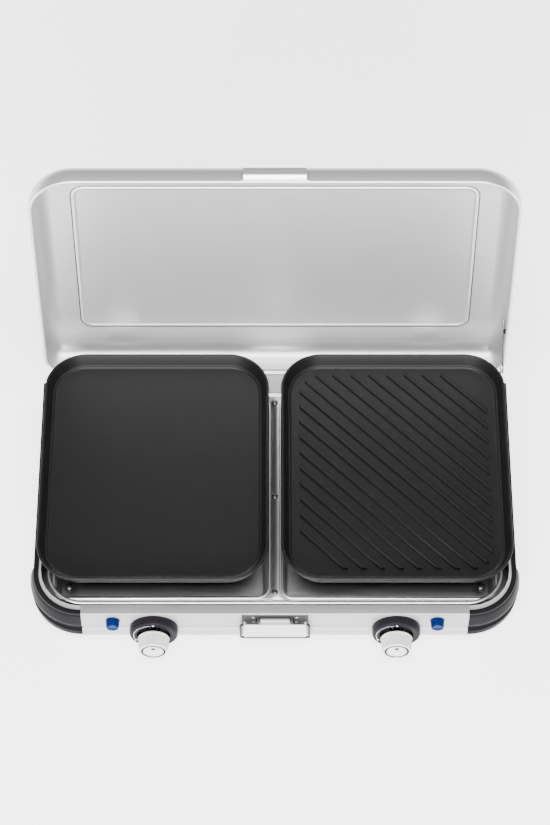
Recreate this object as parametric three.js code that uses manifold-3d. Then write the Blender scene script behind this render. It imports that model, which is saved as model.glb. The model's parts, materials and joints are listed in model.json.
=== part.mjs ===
// Two-burner folding camp grill: a suitcase gas stove with a hinged lid and two lift-off plates.
// Millimetres, +Z up, front towards -Y, standing on its feet at z = 0.
import * as THREE from "three";
import { mergeVertices } from "three/addons/utils/BufferGeometryUtils.js";
import Module from "manifold-3d";

const wasm = await Module();
wasm.setup();

// ---- driving dimensions ----
const GAP = 0.3; // between touching pieces
const SHEET = 1.2; // pressed sheet metal
const CORNER_STEPS = 6;

const LID_WIDTH = 600; // overall width, shut
const DEPTH = 369; // front panel to the shell's rear wall
const BASE_REAR = 179;
const FOOT_HEIGHT = 12;
const BASE_TOP = 68; // top of the steel shell

const HALF_WIDTH = LID_WIDTH / 2;
const PANEL_FRONT = BASE_REAR - DEPTH;

const FOOT_RADIUS = 11;
const FOOT_INSET = 44; // from the shell's sides to a foot
const FOOT_SETBACK = 41; // from the shell's front

const BASE_WIDTH = LID_WIDTH - 12; // steel shell
const BASE_FRONT = PANEL_FRONT + 7;
const BASE_FRONT_RADIUS = 56;
const BASE_REAR_RADIUS = 8;
const BASE_FLANGE = 6;
const REAR_SLOPE_RUN = 24; // the top slopes down over this depth at the rear
const REAR_SLOPE_TOP_Y = BASE_REAR - REAR_SLOPE_RUN;
const REAR_SLOPE_DROP = 23;

const CORNER_REACH = 63.3; // from the lid's side to the front panel's end
const PANEL_WIDTH = LID_WIDTH - 2 * CORNER_REACH;
const PANEL_TOP = BASE_TOP + 1.5;
const PANEL_BOTTOM = FOOT_HEIGHT + 2;
const PANEL_LEDGE = 8.6;
const CREASE_TOP = 41;
const CREASE_FLOOR = 31;
const CREASE_BOTTOM = 27;
const CREASE_DEPTH = 3;

const BUMPER_REACH = HALF_WIDTH + 2; // half the width over the corner bumpers
const BUMPER_RADIUS = 64;
const BUMPER_TOP = BASE_TOP - 1.8;
const BUMPER_WALL = 3;
const TRIM_REACH = HALF_WIDTH - 3; // half the width over the black edge trim
const TRIM_LIP = 6.5;
const TRIM_WALL = 1.2;
const TRIM_TOP = BASE_TOP + 1.7;
const TRIM_REAR = REAR_SLOPE_TOP_Y - 7;

const TRAY_WIDTH = LID_WIDTH - 41; // cooktop tray
const TRAY_FRONT = PANEL_FRONT + 15;
const TRAY_REAR = REAR_SLOPE_TOP_Y - 22;
const TRAY_RADIUS = 44;
const TRAY_BEAD_TOP = BASE_TOP + 1.6;
const TRAY_DECK = BASE_TOP - 0.5;
const TRAY_BEAD = 4.5;
const WELL_INNER = 9; // from the middle line to a well
const WELL_OUTER = TRAY_WIDTH / 2 - 11.5;
const WELL_FRONT = TRAY_FRONT + 11;
const WELL_REAR = TRAY_REAR - 8;
const WELL_RADIUS = 14;
const WELL_DEPTH = 19.5;
const WELL_FLOOR = TRAY_DECK - WELL_DEPTH;

const PLATE_INNER = 7.3; // from the middle line to a plate
const PLATE_OUTER = HALF_WIDTH - 7;
const PLATE_FRONT = PANEL_FRONT + 34;
const PLATE_REAR = BASE_REAR - 2;
const PLATE_RADIUS = 52;
const PLATE_BOTTOM = TRAY_BEAD_TOP + 0.7;
const PLATE_HEIGHT = 24.2;
const PLATE_TOP = PLATE_BOTTOM + PLATE_HEIGHT;
const PLATE_WALL = 3.2;
const PLATE_DRAFT = 8;
const PLATE_FOOT = 6; // width of the foot ring round the underside
const PLATE_FOOT_HEIGHT = 3.7;
const PLATE_LEDGE = 9.5;
const PLATE_LEDGE_DEPTH = 13.5;
const PLATE_SURFACE_INSET = 15.5;
const PLATE_SURFACE_DEPTH = 16.5;
const RIB_COUNT = 19;
const RIB_PITCH = 16.2;
const RIB_WIDTH = 4.6;
const RIB_HEIGHT = 2.8;
const RIB_MARGIN = 8;
const RIB_ANGLE = -45;

const LID_FRONT = PANEL_FRONT + 8; // shut
const LID_REAR = BASE_REAR + 5;
const LID_HEADROOM = 11.5; // from the plates to the top of the lid
const LID_RIM = BASE_TOP + 2; // height of the rim when the lid is shut
const LID_TOP = PLATE_TOP + LID_HEADROOM;
const LID_FRONT_RADIUS = 57;
const LID_REAR_RADIUS = 24;
const LID_FILLET = 24;
const LID_HEM = 4.6;
const LID_OPENING = 94.5; // degrees
const LID_GROOVE_INSET = 52;
const LID_GROOVE_WIDTH = 5;
const LID_GROOVE_DEPTH = 1.1;
const FILLET_STEPS = 4;

const HINGE_Y = BASE_REAR - 9;
const HINGE_Z = LID_RIM - 21.8;
const HINGE_X = 200;
const HINGE_HALF = 19;
const KNUCKLE_RADIUS = 5.5;
const PIN_RADIUS = 2;
const PIN_CLEARANCE = 0.3;
const EAR = 1.5;
const NOTCH_FLOOR = HINGE_Z - 12.2;

const STAY_Y = HINGE_Y - 0.4;
const STAY_Z = LID_RIM - 4.4;
const STAY_LENGTH = 68;
const STAY_RADIUS = 1.25;
const STAY_X = HALF_WIDTH - LID_HEM - STAY_RADIUS - 0.45;
const STAY_ANGLE = 45; // degrees above level, leaning back, with the lid open
const STAY_CLIP_REACH = 51; // along the open stay
const STAY_CLIP_HALF = 2.5; // half the clip's length along the wire
const STAY_CLIP_ABOVE = 1.9; // play between wire and clip, on the wire's upper side
const STAY_CLIP_BELOW = 4.3; // and on its lower side, where the wire drifts in mid swing

const KNOB_X = 148.5;
const BURNER_X = KNOB_X; // each valve feeds its burner in a straight line
const BURNER_Y = (WELL_FRONT + WELL_REAR) / 2;
const BURNER_RADIUS = 40;
const BURNER_NECK = 18;
const BURNER_TUBE = 7.5;
const BURNER_TUBE_BELOW = 3; // mixing tube below the knob line
const CAP_RADIUS = 42;
const SUPPORT_HALF = 96;
const SUPPORT_BAR = 5;

const KNOB_Z = 37;
const BURNER_TUBE_Z = KNOB_Z - BURNER_TUBE_BELOW;
const KNOB_RADIUS = 19.4;
const KNOB_TAPER = 1.2;
const KNOB_LENGTH = 28; // hub and grip
const KNOB_HUB = 9; // hub behind the grip, inside the bezel
const KNOB_STANDOFF = 6; // knob's back face to the panel
const KNOB_GRIPS = 36;
const KNOB_TRAVEL = 2.5;
const BEZEL_MARGIN = 10.1; // bezel's reach past the knob
const BEZEL_DEPTH = 12;
const BEZEL_FLOOR = 2;
const SPINDLE_RADIUS = 3.5;
const SPINDLE_HOLE = SPINDLE_RADIUS + 5; // through the panel and the bezel's floor
const KNOB_HUB_RADIUS = SPINDLE_RADIUS + 4;

const BUTTON_X = 198.3;
const BUTTON_Z = 53.5;
const BUTTON_RADIUS = 8.4;
const BUTTON_STANDOUT = 10.6;
const BUTTON_TRAVEL = 5;
const BARREL_WALL = 1.8;
const BARREL_DEPTH = 15;

const LATCH_AXIS_Y = PANEL_FRONT - 5.5;
const LATCH_AXIS_Z = LID_RIM - 7;
const LATCH_HALF = 38; // half the lever's width
const LATCH_DROP = 28.5; // lever's lip below the bail's pivot
const LATCH_PLATE_Y = PANEL_FRONT - 9.5;
const BAIL_Y = PANEL_FRONT - 7.5;
const BAIL_Z = LID_RIM - 14;
const LATCH_BOTTOM = BAIL_Z - LATCH_DROP;
const BAIL_LENGTH = 30.84;
const BAIL_RADIUS = 1.5;
const BAIL_HALF = LATCH_HALF + BAIL_RADIUS + 2.4;

// ---- building helpers ----

// Gives a closed geometry outward faces, whichever way it was wound.
function facingOut(geometry) {
  const bare = new THREE.BufferGeometry();
  bare.setAttribute("position", geometry.getAttribute("position"));
  if (geometry.index) bare.setIndex(geometry.index);
  const merged = mergeVertices(bare, 1e-4);
  const place = merged.getAttribute("position");
  const index = merged.index.array;
  const [a, b, c] = [new THREE.Vector3(), new THREE.Vector3(), new THREE.Vector3()];
  const kept = [];
  let volume = 0;
  for (let i = 0; i < index.length; i += 3) {
    const [p, q, r] = [index[i], index[i + 1], index[i + 2]];
    if (p === q || q === r || r === p) continue;
    kept.push(p, q, r);
    a.fromBufferAttribute(place, p);
    b.fromBufferAttribute(place, q);
    c.fromBufferAttribute(place, r);
    volume += a.dot(b.cross(c));
  }
  if (volume < 0) kept.reverse();
  merged.setIndex(kept);
  return merged;
}

function solid(geometry) {
  const closed = facingOut(geometry);
  return new wasm.Manifold(
    new wasm.Mesh({
      numProp: 3,
      vertProperties: new Float32Array(closed.getAttribute("position").array),
      triVerts: new Uint32Array(closed.index.array),
    }),
  );
}

function geometryOf(manifold) {
  const mesh = manifold.getMesh();
  const geometry = new THREE.BufferGeometry();
  geometry.setAttribute("position", new THREE.BufferAttribute(mesh.vertProperties, 3));
  geometry.setIndex(new THREE.BufferAttribute(mesh.triVerts, 1));
  return geometry;
}

function join(...pieces) {
  return geometryOf(pieces.map(solid).reduce((all, piece) => all.add(piece)));
}

function cut(body, ...tools) {
  return geometryOf(tools.map(solid).reduce((left, tool) => left.subtract(tool), solid(body)));
}

function trim(body, keeper) {
  return geometryOf(solid(body).intersect(solid(keeper)));
}

function mirrored(geometry) {
  return facingOut(geometry.clone().scale(-1, 1, 1));
}

function block(x0, x1, y0, y1, z0, z1) {
  const geometry = new THREE.BoxGeometry(x1 - x0, y1 - y0, z1 - z0);
  return geometry.translate((x0 + x1) / 2, (y0 + y1) / 2, (z0 + z1) / 2);
}

function rod(from, to, radius, sides = 12) {
  const start = new THREE.Vector3(...from);
  const run = new THREE.Vector3(...to).sub(start);
  const geometry = new THREE.CylinderGeometry(radius, radius, run.length(), sides);
  const turn = new THREE.Quaternion().setFromUnitVectors(
    new THREE.Vector3(0, 1, 0),
    run.clone().normalize(),
  );
  return geometry.applyQuaternion(turn).translate(...start.addScaledVector(run, 0.5).toArray());
}

// A profile of [y, z] points carried from x0 to x1.
function alongX(profile, x0, x1) {
  const shape = new THREE.Shape(profile.map(([y, z]) => new THREE.Vector2(y, z)));
  const geometry = new THREE.ExtrudeGeometry(shape, { depth: x1 - x0, bevelEnabled: false });
  const axes = new THREE.Matrix4().makeBasis(
    new THREE.Vector3(0, 1, 0),
    new THREE.Vector3(0, 0, 1),
    new THREE.Vector3(1, 0, 0),
  );
  return geometry.applyMatrix4(axes).translate(x0, 0, 0);
}

// A profile of [radius, height] points turned about +Z.
function turned(profile, sides = 24) {
  const points = profile.map(([radius, height]) => new THREE.Vector2(radius, height));
  return new THREE.LatheGeometry(points, sides).rotateX(Math.PI / 2);
}

// The same, turned about the line that runs from y = 0 towards -Y.
function turnedForward(profile, sides = 24) {
  return turned(profile, sides).rotateX(Math.PI / 2);
}

function tube(points, radius, steps, sides = 8) {
  const path = new THREE.CatmullRomCurve3(
    points.map((point) => new THREE.Vector3(...point)),
    false,
    "centripetal",
  );
  const section = new THREE.Shape();
  for (let i = 0; i < sides; i += 1) {
    const angle = (i / sides) * 2 * Math.PI;
    const [u, v] = [radius * Math.cos(angle), radius * Math.sin(angle)];
    if (i === 0) section.moveTo(u, v);
    else section.lineTo(u, v);
  }
  return new THREE.ExtrudeGeometry(section, { extrudePath: path, steps, bevelEnabled: false });
}

// A rectangle with rounded corners seen from above, drawn in by inset, anticlockwise.
function outline(plan, inset) {
  const corners = [
    [plan.right, plan.front, 1, 1, plan.frontRadius],
    [plan.right, plan.rear, 1, -1, plan.rearRadius],
    [plan.left, plan.rear, -1, -1, plan.rearRadius],
    [plan.left, plan.front, -1, 1, plan.frontRadius],
  ];
  const points = [];
  corners.forEach(([x, y, side, inward, fullRadius], quarter) => {
    const radius = Math.max(fullRadius - inset, 0.5);
    const centreX = x - side * (inset + radius);
    const centreY = y + inward * (inset + radius);
    for (let i = 0; i <= CORNER_STEPS; i += 1) {
      const angle = (quarter - 1 + i / CORNER_STEPS) * (Math.PI / 2);
      points.push([centreX + radius * Math.cos(angle), centreY + radius * Math.sin(angle)]);
    }
  });
  return points;
}

// Skins rows of points; a ring joins its last row to its first, else both ends are fanned shut.
function skin(rows, isRing = false) {
  const count = rows[0].length;
  const positions = rows.flat(2);
  const faces = [];
  const steps = isRing ? rows.length : rows.length - 1;
  for (let i = 0; i < steps; i += 1) {
    const here = i * count;
    const next = ((i + 1) % rows.length) * count;
    for (let j = 0; j < count; j += 1) {
      const k = (j + 1) % count;
      faces.push(here + j, here + k, next + k, here + j, next + k, next + j);
    }
  }
  if (!isRing) {
    [0, rows.length - 1].forEach((row, end) => {
      const middle = [0, 1, 2].map((axis) => rows[row].reduce((sum, p) => sum + p[axis], 0) / count);
      const hub = positions.length / 3;
      positions.push(...middle);
      for (let j = 0; j < count; j += 1) {
        const [p, q] = [row * count + j, row * count + ((j + 1) % count)];
        faces.push(...(end ? [hub, p, q] : [hub, q, p]));
      }
    });
  }
  const geometry = new THREE.BufferGeometry();
  geometry.setAttribute("position", new THREE.Float32BufferAttribute(positions, 3));
  geometry.setIndex(faces);
  return geometry;
}

// A [inset, z] profile carried round a plan: a dish or a ring.
function round(plan, profile, isRing = false) {
  return skin(
    profile.map(([inset, z]) => outline(plan, inset).map(([x, y]) => [x, y, z])),
    isRing,
  );
}

function plate2d(plan, inset, z0, z1) {
  return round(plan, [
    [inset, z0],
    [inset, z1],
  ]);
}

const grill = new THREE.Group();

const FINISH = {
  satinSteel: { color: 0xc9cacb, roughness: 0.38, metalness: 0.9 },
  paleShell: { color: 0xdcdcda, roughness: 0.45, metalness: 0.1 },
  blackTrim: { color: 0x17171a, roughness: 0.5, metalness: 0 },
  greyPlastic: { color: 0x4a4850, roughness: 0.35, metalness: 0 },
  blackCoat: { color: 0x1d1d1e, roughness: 0.6, metalness: 0.2 },
  whitePlastic: { color: 0xe6e6e4, roughness: 0.4, metalness: 0 },
  bluePlastic: { color: 0x123e9c, roughness: 0.35, metalness: 0 },
  brass: { color: 0xb08d4a, roughness: 0.35, metalness: 0.9 },
  aluminium: { color: 0x9c9ea0, roughness: 0.5, metalness: 0.8 },
  steelWire: { color: 0xb4b6b8, roughness: 0.3, metalness: 0.95 },
  ceramic: { color: 0xeceae2, roughness: 0.4, metalness: 0 },
  rubber: { color: 0x1b1b1b, roughness: 0.85, metalness: 0 },
};

function add(name, geometry, finish, parent = grill) {
  const mesh = new THREE.Mesh(facingOut(geometry), new THREE.MeshStandardMaterial(FINISH[finish]));
  mesh.name = name;
  parent.add(mesh);
}

const SIDES = [
  ["left", -1],
  ["right", 1],
];

// Adds a piece drawn on the right, and its mirror image on the left.
function addPair(stem, drawRight, finish, parent = grill) {
  const right = drawRight();
  add(stem + "_left", mirrored(right), finish, parent);
  add(stem + "_right", right, finish, parent);
}

// Adds the same piece on both sides, unmirrored.
function addTwice(stem, draw, offset, finish) {
  SIDES.forEach(([name, side]) => {
    add(stem + "_" + name, draw().translate(side * offset, 0, 0), finish);
  });
}

// ---- base shell ----

const basePlan = {
  left: -BASE_WIDTH / 2,
  right: BASE_WIDTH / 2,
  front: BASE_FRONT,
  rear: BASE_REAR,
  frontRadius: BASE_FRONT_RADIUS,
  rearRadius: BASE_REAR_RADIUS,
};
const REAR_WALL_TOP = BASE_TOP - REAR_SLOPE_DROP;
const slopeCut = [
  [REAR_SLOPE_TOP_Y, BASE_TOP],
  [REAR_SLOPE_TOP_Y, BASE_TOP + 20],
  [BASE_REAR + 20, BASE_TOP + 20],
  [BASE_REAR + 20, REAR_WALL_TOP - 1],
  [BASE_REAR, REAR_WALL_TOP - 1],
];

function hingeNotch(side) {
  const middle = side * HINGE_X;
  const half = HINGE_HALF + 1;
  const front = REAR_SLOPE_TOP_Y + 0.5;
  return block(middle - half, middle + half, front, BASE_REAR + 5, NOTCH_FLOOR, BASE_TOP + 5);
}

const INLET_X = BASE_WIDTH / 2 - 36;
const INLET_Z = FOOT_HEIGHT + 12;
const INLET_BORE = 6.5;

function bottomShell() {
  const chamfer = 4;
  const dish = round(basePlan, [
    [chamfer, FOOT_HEIGHT],
    [0, FOOT_HEIGHT + chamfer],
    [0, BASE_TOP],
    [BASE_FLANGE, BASE_TOP],
    [BASE_FLANGE, BASE_TOP - SHEET],
    [SHEET, BASE_TOP - SHEET],
    [SHEET, FOOT_HEIGHT + chamfer + SHEET / 2],
    [chamfer + SHEET / 2, FOOT_HEIGHT + SHEET],
  ]);
  const half = PANEL_WIDTH / 2;
  return cut(
    dish,
    alongX(slopeCut, -BASE_WIDTH, BASE_WIDTH),
    block(-half, half, BASE_FRONT - 5, TRAY_FRONT - 1, FOOT_HEIGHT + 6, BASE_TOP + 5),
    hingeNotch(-1),
    hingeNotch(1),
    rod([INLET_X, BASE_REAR - 8, INLET_Z], [INLET_X, BASE_REAR + 5, INLET_Z], INLET_BORE),
  );
}
add("bottom_shell", bottomShell(), "paleShell");

function foot() {
  return turned([
    [0, 0],
    [FOOT_RADIUS - 2, 0],
    [FOOT_RADIUS - 1, 1.5],
    [FOOT_RADIUS, FOOT_HEIGHT - GAP],
    [0, FOOT_HEIGHT - GAP],
  ], 16);
}
const footX = BASE_WIDTH / 2 - FOOT_INSET;
[
  ["front", BASE_FRONT + FOOT_SETBACK],
  ["rear", BASE_REAR - FOOT_SETBACK + 4],
].forEach(([end, y]) => {
  SIDES.forEach(([name, side]) => {
    add("foot_" + end + "_" + name, foot().translate(side * footX, y, 0), "rubber");
  });
});

// ---- front panel ----

const panelFace = [
  [PANEL_FRONT + 1, PANEL_TOP],
  [PANEL_FRONT, PANEL_TOP - 1.2],
  [PANEL_FRONT, CREASE_TOP],
  [PANEL_FRONT + CREASE_DEPTH, CREASE_FLOOR],
  [PANEL_FRONT + 0.5, CREASE_BOTTOM],
  [PANEL_FRONT + 0.8, PANEL_BOTTOM + 1],
  [PANEL_FRONT + 1.8, PANEL_BOTTOM],
];
const panelProfile = [
  [PANEL_FRONT + PANEL_LEDGE, PANEL_TOP],
  ...panelFace,
  [PANEL_FRONT + 7, PANEL_BOTTOM],
  [PANEL_FRONT + 7, PANEL_BOTTOM + SHEET],
  [PANEL_FRONT + 2.2, PANEL_BOTTOM + SHEET],
  [PANEL_FRONT + 0.5 + SHEET, CREASE_BOTTOM + 0.4],
  [PANEL_FRONT + CREASE_DEPTH + SHEET, CREASE_FLOOR],
  [PANEL_FRONT + SHEET, CREASE_TOP + 0.4],
  [PANEL_FRONT + SHEET, PANEL_TOP - SHEET],
  [PANEL_FRONT + PANEL_LEDGE, PANEL_TOP - SHEET],
];

function throughPanel(x, z, radius) {
  return rod([x, PANEL_FRONT - 5, z], [x, PANEL_FRONT + 6, z], radius, 20);
}
add(
  "front_panel",
  cut(
    alongX(panelProfile, -PANEL_WIDTH / 2, PANEL_WIDTH / 2),
    ...SIDES.flatMap(([, side]) => [
      throughPanel(side * KNOB_X, KNOB_Z, SPINDLE_HOLE),
      throughPanel(side * BUTTON_X, BUTTON_Z, BUTTON_RADIUS + 0.5),
    ]),
  ),
  "paleShell",
);

// ---- corner bumpers and edge trim ----

// Points from the front seam round the right corner to the side, each with its sideways share.
function cornerPath(centreX, centreY, radius, tail) {
  const path = [[PANEL_WIDTH / 2 + GAP, centreY - radius, 0, -1, 0]];
  const steps = 8;
  for (let i = 0; i <= steps; i += 1) {
    const angle = (i / steps - 1) * (Math.PI / 2);
    const [across, along] = [Math.cos(angle), Math.sin(angle)];
    path.push([centreX + radius * across, centreY + radius * along, across, along, across]);
  }
  path.push([centreX + radius, tail, 1, 0, 1]);
  return path;
}

function bumper() {
  const centreX = BUMPER_REACH - BUMPER_RADIUS;
  const centreY = PANEL_FRONT + BUMPER_RADIUS;
  // [outward step, height, outward step that grows towards the side]
  const profile = [
    [0, BUMPER_TOP, -5],
    [0, 58, -2],
    [0, CREASE_TOP + 4, 0.6],
    [0, CREASE_TOP, 0.6],
    [-CREASE_DEPTH, CREASE_FLOOR, 0.4],
    [-0.5, CREASE_BOTTOM, 0.4],
    [-0.8, PANEL_BOTTOM + 2, -0.4],
    [-2.2, PANEL_BOTTOM, -0.4],
    [-CREASE_DEPTH - BUMPER_WALL, PANEL_BOTTOM, 0],
    [-CREASE_DEPTH - BUMPER_WALL, BUMPER_TOP, -1.4],
  ];
  const rows = cornerPath(centreX, centreY, BUMPER_RADIUS, centreY + 4).map(
    ([x, y, nx, ny, sideways]) =>
      profile.map(([step, z, lean]) => {
        const out = step + lean * sideways;
        return [x + nx * out, y + ny * out, z];
      }),
  );
  return skin(rows);
}
addPair("front_bumper", bumper, "greyPlastic");

function edgeTrim() {
  const radius = TRIM_REACH - PANEL_WIDTH / 2 - 2 * GAP;
  const centreX = TRIM_REACH - radius;
  const centreY = PANEL_FRONT + radius;
  const profile = [
    [-TRIM_LIP, TRIM_TOP - TRIM_WALL],
    [-TRIM_LIP, TRIM_TOP],
    [-0.8, TRIM_TOP],
    [0, TRIM_TOP - 0.8],
    [0, BUMPER_TOP + GAP],
    [-TRIM_WALL - 1, BUMPER_TOP + GAP],
    [-TRIM_WALL - 1, TRIM_TOP - TRIM_WALL],
  ];
  const rows = cornerPath(centreX, centreY, radius, TRIM_REAR).map(([x, y, nx, ny]) =>
    profile.map(([out, z]) => [x + nx * out, y + ny * out, z]),
  );
  return skin(rows);
}
addPair("edge_trim", edgeTrim, "blackTrim");

// ---- rear rail with the hinge brackets ----

const RAIL_FRONT = TRAY_REAR + 1;
const RAIL_HALF = BASE_WIDTH / 2 - BASE_FLANGE - 3;
const RAIL_REAR = BASE_REAR - 2.5;
const RAIL_LOW = REAR_WALL_TOP + 1;
const railProfile = [
  [RAIL_FRONT, BASE_TOP],
  [REAR_SLOPE_TOP_Y, BASE_TOP],
  [RAIL_REAR, RAIL_LOW],
  [RAIL_REAR, RAIL_LOW - 8],
  [RAIL_REAR - SHEET, RAIL_LOW - 8],
  [RAIL_REAR - SHEET, RAIL_LOW],
  [REAR_SLOPE_TOP_Y - 0.7, BASE_TOP - 1.6],
  [RAIL_FRONT, BASE_TOP - 1.6],
];
add(
  "rear_rail",
  cut(
    trim(
      alongX(railProfile, -RAIL_HALF, RAIL_HALF),
      plate2d(basePlan, SHEET + 2 * GAP, 0, BASE_TOP + 5),
    ),
    hingeNotch(-1),
    hingeNotch(1),
  ),
  "paleShell",
);

const BRACKET_FLOOR = NOTCH_FLOOR - 3;
const BRACKET_FRONT = REAR_SLOPE_TOP_Y - 9;

function hingeBracket() {
  const bore = rod(
    [-HINGE_HALF - 1, HINGE_Y, HINGE_Z],
    [HINGE_HALF + 1, HINGE_Y, HINGE_Z],
    PIN_RADIUS + PIN_CLEARANCE,
  );
  const strap = alongX([
    [BRACKET_FRONT - 10, BASE_TOP - 1.6 - GAP],
    [BRACKET_FRONT, BASE_TOP - 1.6 - GAP],
    [BRACKET_FRONT, BRACKET_FLOOR + 2],
    [RAIL_REAR - 2.5, BRACKET_FLOOR + 2],
    [RAIL_REAR - 2.5, BRACKET_FLOOR],
    [BRACKET_FRONT - 2, BRACKET_FLOOR],
    [BRACKET_FRONT - 2, BASE_TOP - 3.6 - GAP],
    [BRACKET_FRONT - 10, BASE_TOP - 3.6 - GAP],
  ], -HINGE_HALF, HINGE_HALF);
  const ears = [-1, 1].map((side) => {
    const inner = side * (HINGE_HALF - EAR);
    const outer = side * HINGE_HALF;
    return block(
      Math.min(inner, outer),
      Math.max(inner, outer),
      HINGE_Y - 12,
      RAIL_REAR - 2.5,
      BRACKET_FLOOR + 1,
      HINGE_Z + 4,
    );
  });
  return cut(join(strap, ...ears), bore);
}
addTwice("hinge_bracket", hingeBracket, HINGE_X, "satinSteel");
addTwice(
  "hinge_pin",
  () => rod([-HINGE_HALF - 0.7, HINGE_Y, HINGE_Z], [HINGE_HALF + 0.7, HINGE_Y, HINGE_Z], PIN_RADIUS),
  HINGE_X,
  "steelWire",
);

// ---- cooktop tray ----

const trayPlan = {
  left: -TRAY_WIDTH / 2,
  right: TRAY_WIDTH / 2,
  front: TRAY_FRONT,
  rear: TRAY_REAR,
  frontRadius: TRAY_RADIUS,
  rearRadius: 12,
};
const wellPlan = {
  left: WELL_INNER,
  right: WELL_OUTER,
  front: WELL_FRONT,
  rear: WELL_REAR,
  frontRadius: WELL_RADIUS,
  rearRadius: WELL_RADIUS,
};

const CORNER_SCREW_X = TRAY_WIDTH / 2 - 27.5;
const CORNER_SCREW_Y = TRAY_FRONT + 24;
const SCREWS = [
  [0, TRAY_REAR - 14],
  [0, BURNER_Y - 1.5],
  [0, WELL_FRONT + 6],
  [-CORNER_SCREW_X, CORNER_SCREW_Y],
  [CORNER_SCREW_X, CORNER_SCREW_Y],
];
const SCREW_HOLE = 1.9;
const ELECTRODE_REACH = 46; // electrode's distance from its burner's middle
const ELECTRODE_RADIUS = 3;

function cooktopTray() {
  const deckUnder = TRAY_DECK - SHEET;
  const deck = round(trayPlan, [
    [TRAY_BEAD + 1, deckUnder],
    [TRAY_BEAD, TRAY_BEAD_TOP - SHEET],
    [SHEET, TRAY_BEAD_TOP - SHEET],
    [SHEET, deckUnder - 2],
    [0, deckUnder - 2],
    [0, TRAY_BEAD_TOP - 0.8],
    [0.8, TRAY_BEAD_TOP],
    [TRAY_BEAD - 1, TRAY_BEAD_TOP],
    [TRAY_BEAD + 1, TRAY_DECK],
  ]);
  const ridge = round(wellPlan, [
    [-4.5, TRAY_DECK - 0.4],
    [-3.2, TRAY_DECK + 1],
    [-1.4, TRAY_DECK + 1],
    [-0.2, TRAY_DECK - 0.4],
  ], true);
  const taper = 4;
  const wellOuter = round(wellPlan, [
    [taper - SHEET, WELL_FLOOR - SHEET],
    [-SHEET, deckUnder],
    [-SHEET, TRAY_DECK - 0.2],
  ]);
  const wellInner = round(wellPlan, [
    [taper, WELL_FLOOR],
    [0, TRAY_DECK],
    [0, TRAY_DECK + 5],
  ]);
  const neckHole = rod(
    [BURNER_X, BURNER_Y, WELL_FLOOR - 5],
    [BURNER_X, BURNER_Y, WELL_FLOOR + 5],
    BURNER_NECK + 1,
    24,
  );
  const electrodeHole = rod(
    [BURNER_X + ELECTRODE_REACH, BURNER_Y, WELL_FLOOR - 5],
    [BURNER_X + ELECTRODE_REACH, BURNER_Y, WELL_FLOOR + 5],
    ELECTRODE_RADIUS + 0.5,
  );
  const rightCuts = [wellInner, neckHole, electrodeHole];
  const screwHoles = SCREWS.map(([x, y]) =>
    rod([x, y, TRAY_DECK - 8], [x, y, TRAY_DECK + 5], SCREW_HOLE),
  );
  return cut(
    join(deck, wellOuter, mirrored(wellOuter), ridge, mirrored(ridge)),
    ...rightCuts,
    ...rightCuts.map(mirrored),
    ...screwHoles,
  );
}
add("cooktop_tray", cooktopTray(), "satinSteel");

function trayScrew() {
  return turned([
    [0, TRAY_DECK - 8],
    [SCREW_HOLE - GAP, TRAY_DECK - 8],
    [SCREW_HOLE - GAP, TRAY_DECK + GAP],
    [3.6, TRAY_DECK + GAP],
    [3.2, TRAY_DECK + 1.3],
    [1.8, TRAY_DECK + 1.9],
    [0, TRAY_DECK + 1.9],
  ], 12);
}
["rear", "middle", "front", "front_left", "front_right"].forEach((place, i) => {
  add("tray_screw_" + place, trayScrew().translate(SCREWS[i][0], SCREWS[i][1], 0), "steelWire");
});

// ---- burners ----

const BURNER_TOP = WELL_FLOOR + 12;

function burnerBody() {
  const bowl = turned([
    [0, BURNER_TUBE_Z - BURNER_TUBE],
    [BURNER_NECK - 2, BURNER_TUBE_Z - BURNER_TUBE],
    [BURNER_NECK, BURNER_TUBE_Z],
    [BURNER_NECK, WELL_FLOOR + 1],
    [BURNER_RADIUS, WELL_FLOOR + 4],
    [BURNER_RADIUS, BURNER_TOP],
    [0, BURNER_TOP],
  ]).translate(BURNER_X, BURNER_Y, 0);
  const mixingTube = rod(
    [BURNER_X, BURNER_Y, BURNER_TUBE_Z],
    [BURNER_X, WELL_FRONT + 14, BURNER_TUBE_Z],
    BURNER_TUBE,
    16,
  );
  const bore = rod(
    [BURNER_X, BURNER_Y, BURNER_TUBE_Z],
    [BURNER_X, WELL_FRONT + 4, BURNER_TUBE_Z],
    BURNER_TUBE - 2,
    12,
  );
  return cut(join(bowl, mixingTube), bore);
}
addPair("burner_body", burnerBody, "aluminium");

function burnerCap() {
  const ports = 16;
  const disc = turned([
    [0, BURNER_TOP + GAP],
    [CAP_RADIUS - 4, BURNER_TOP + GAP],
    [CAP_RADIUS - 2, BURNER_TOP + 2],
    [CAP_RADIUS, BURNER_TOP + 4],
    [CAP_RADIUS - 3, BURNER_TOP + 6],
    [0, BURNER_TOP + 7],
  ], 2 * ports);
  return disc.translate(BURNER_X, BURNER_Y, 0);
}
addPair("burner_cap", burnerCap, "blackCoat");

const SUPPORT_TOP = PLATE_BOTTOM + PLATE_FOOT_HEIGHT - GAP;

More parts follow.
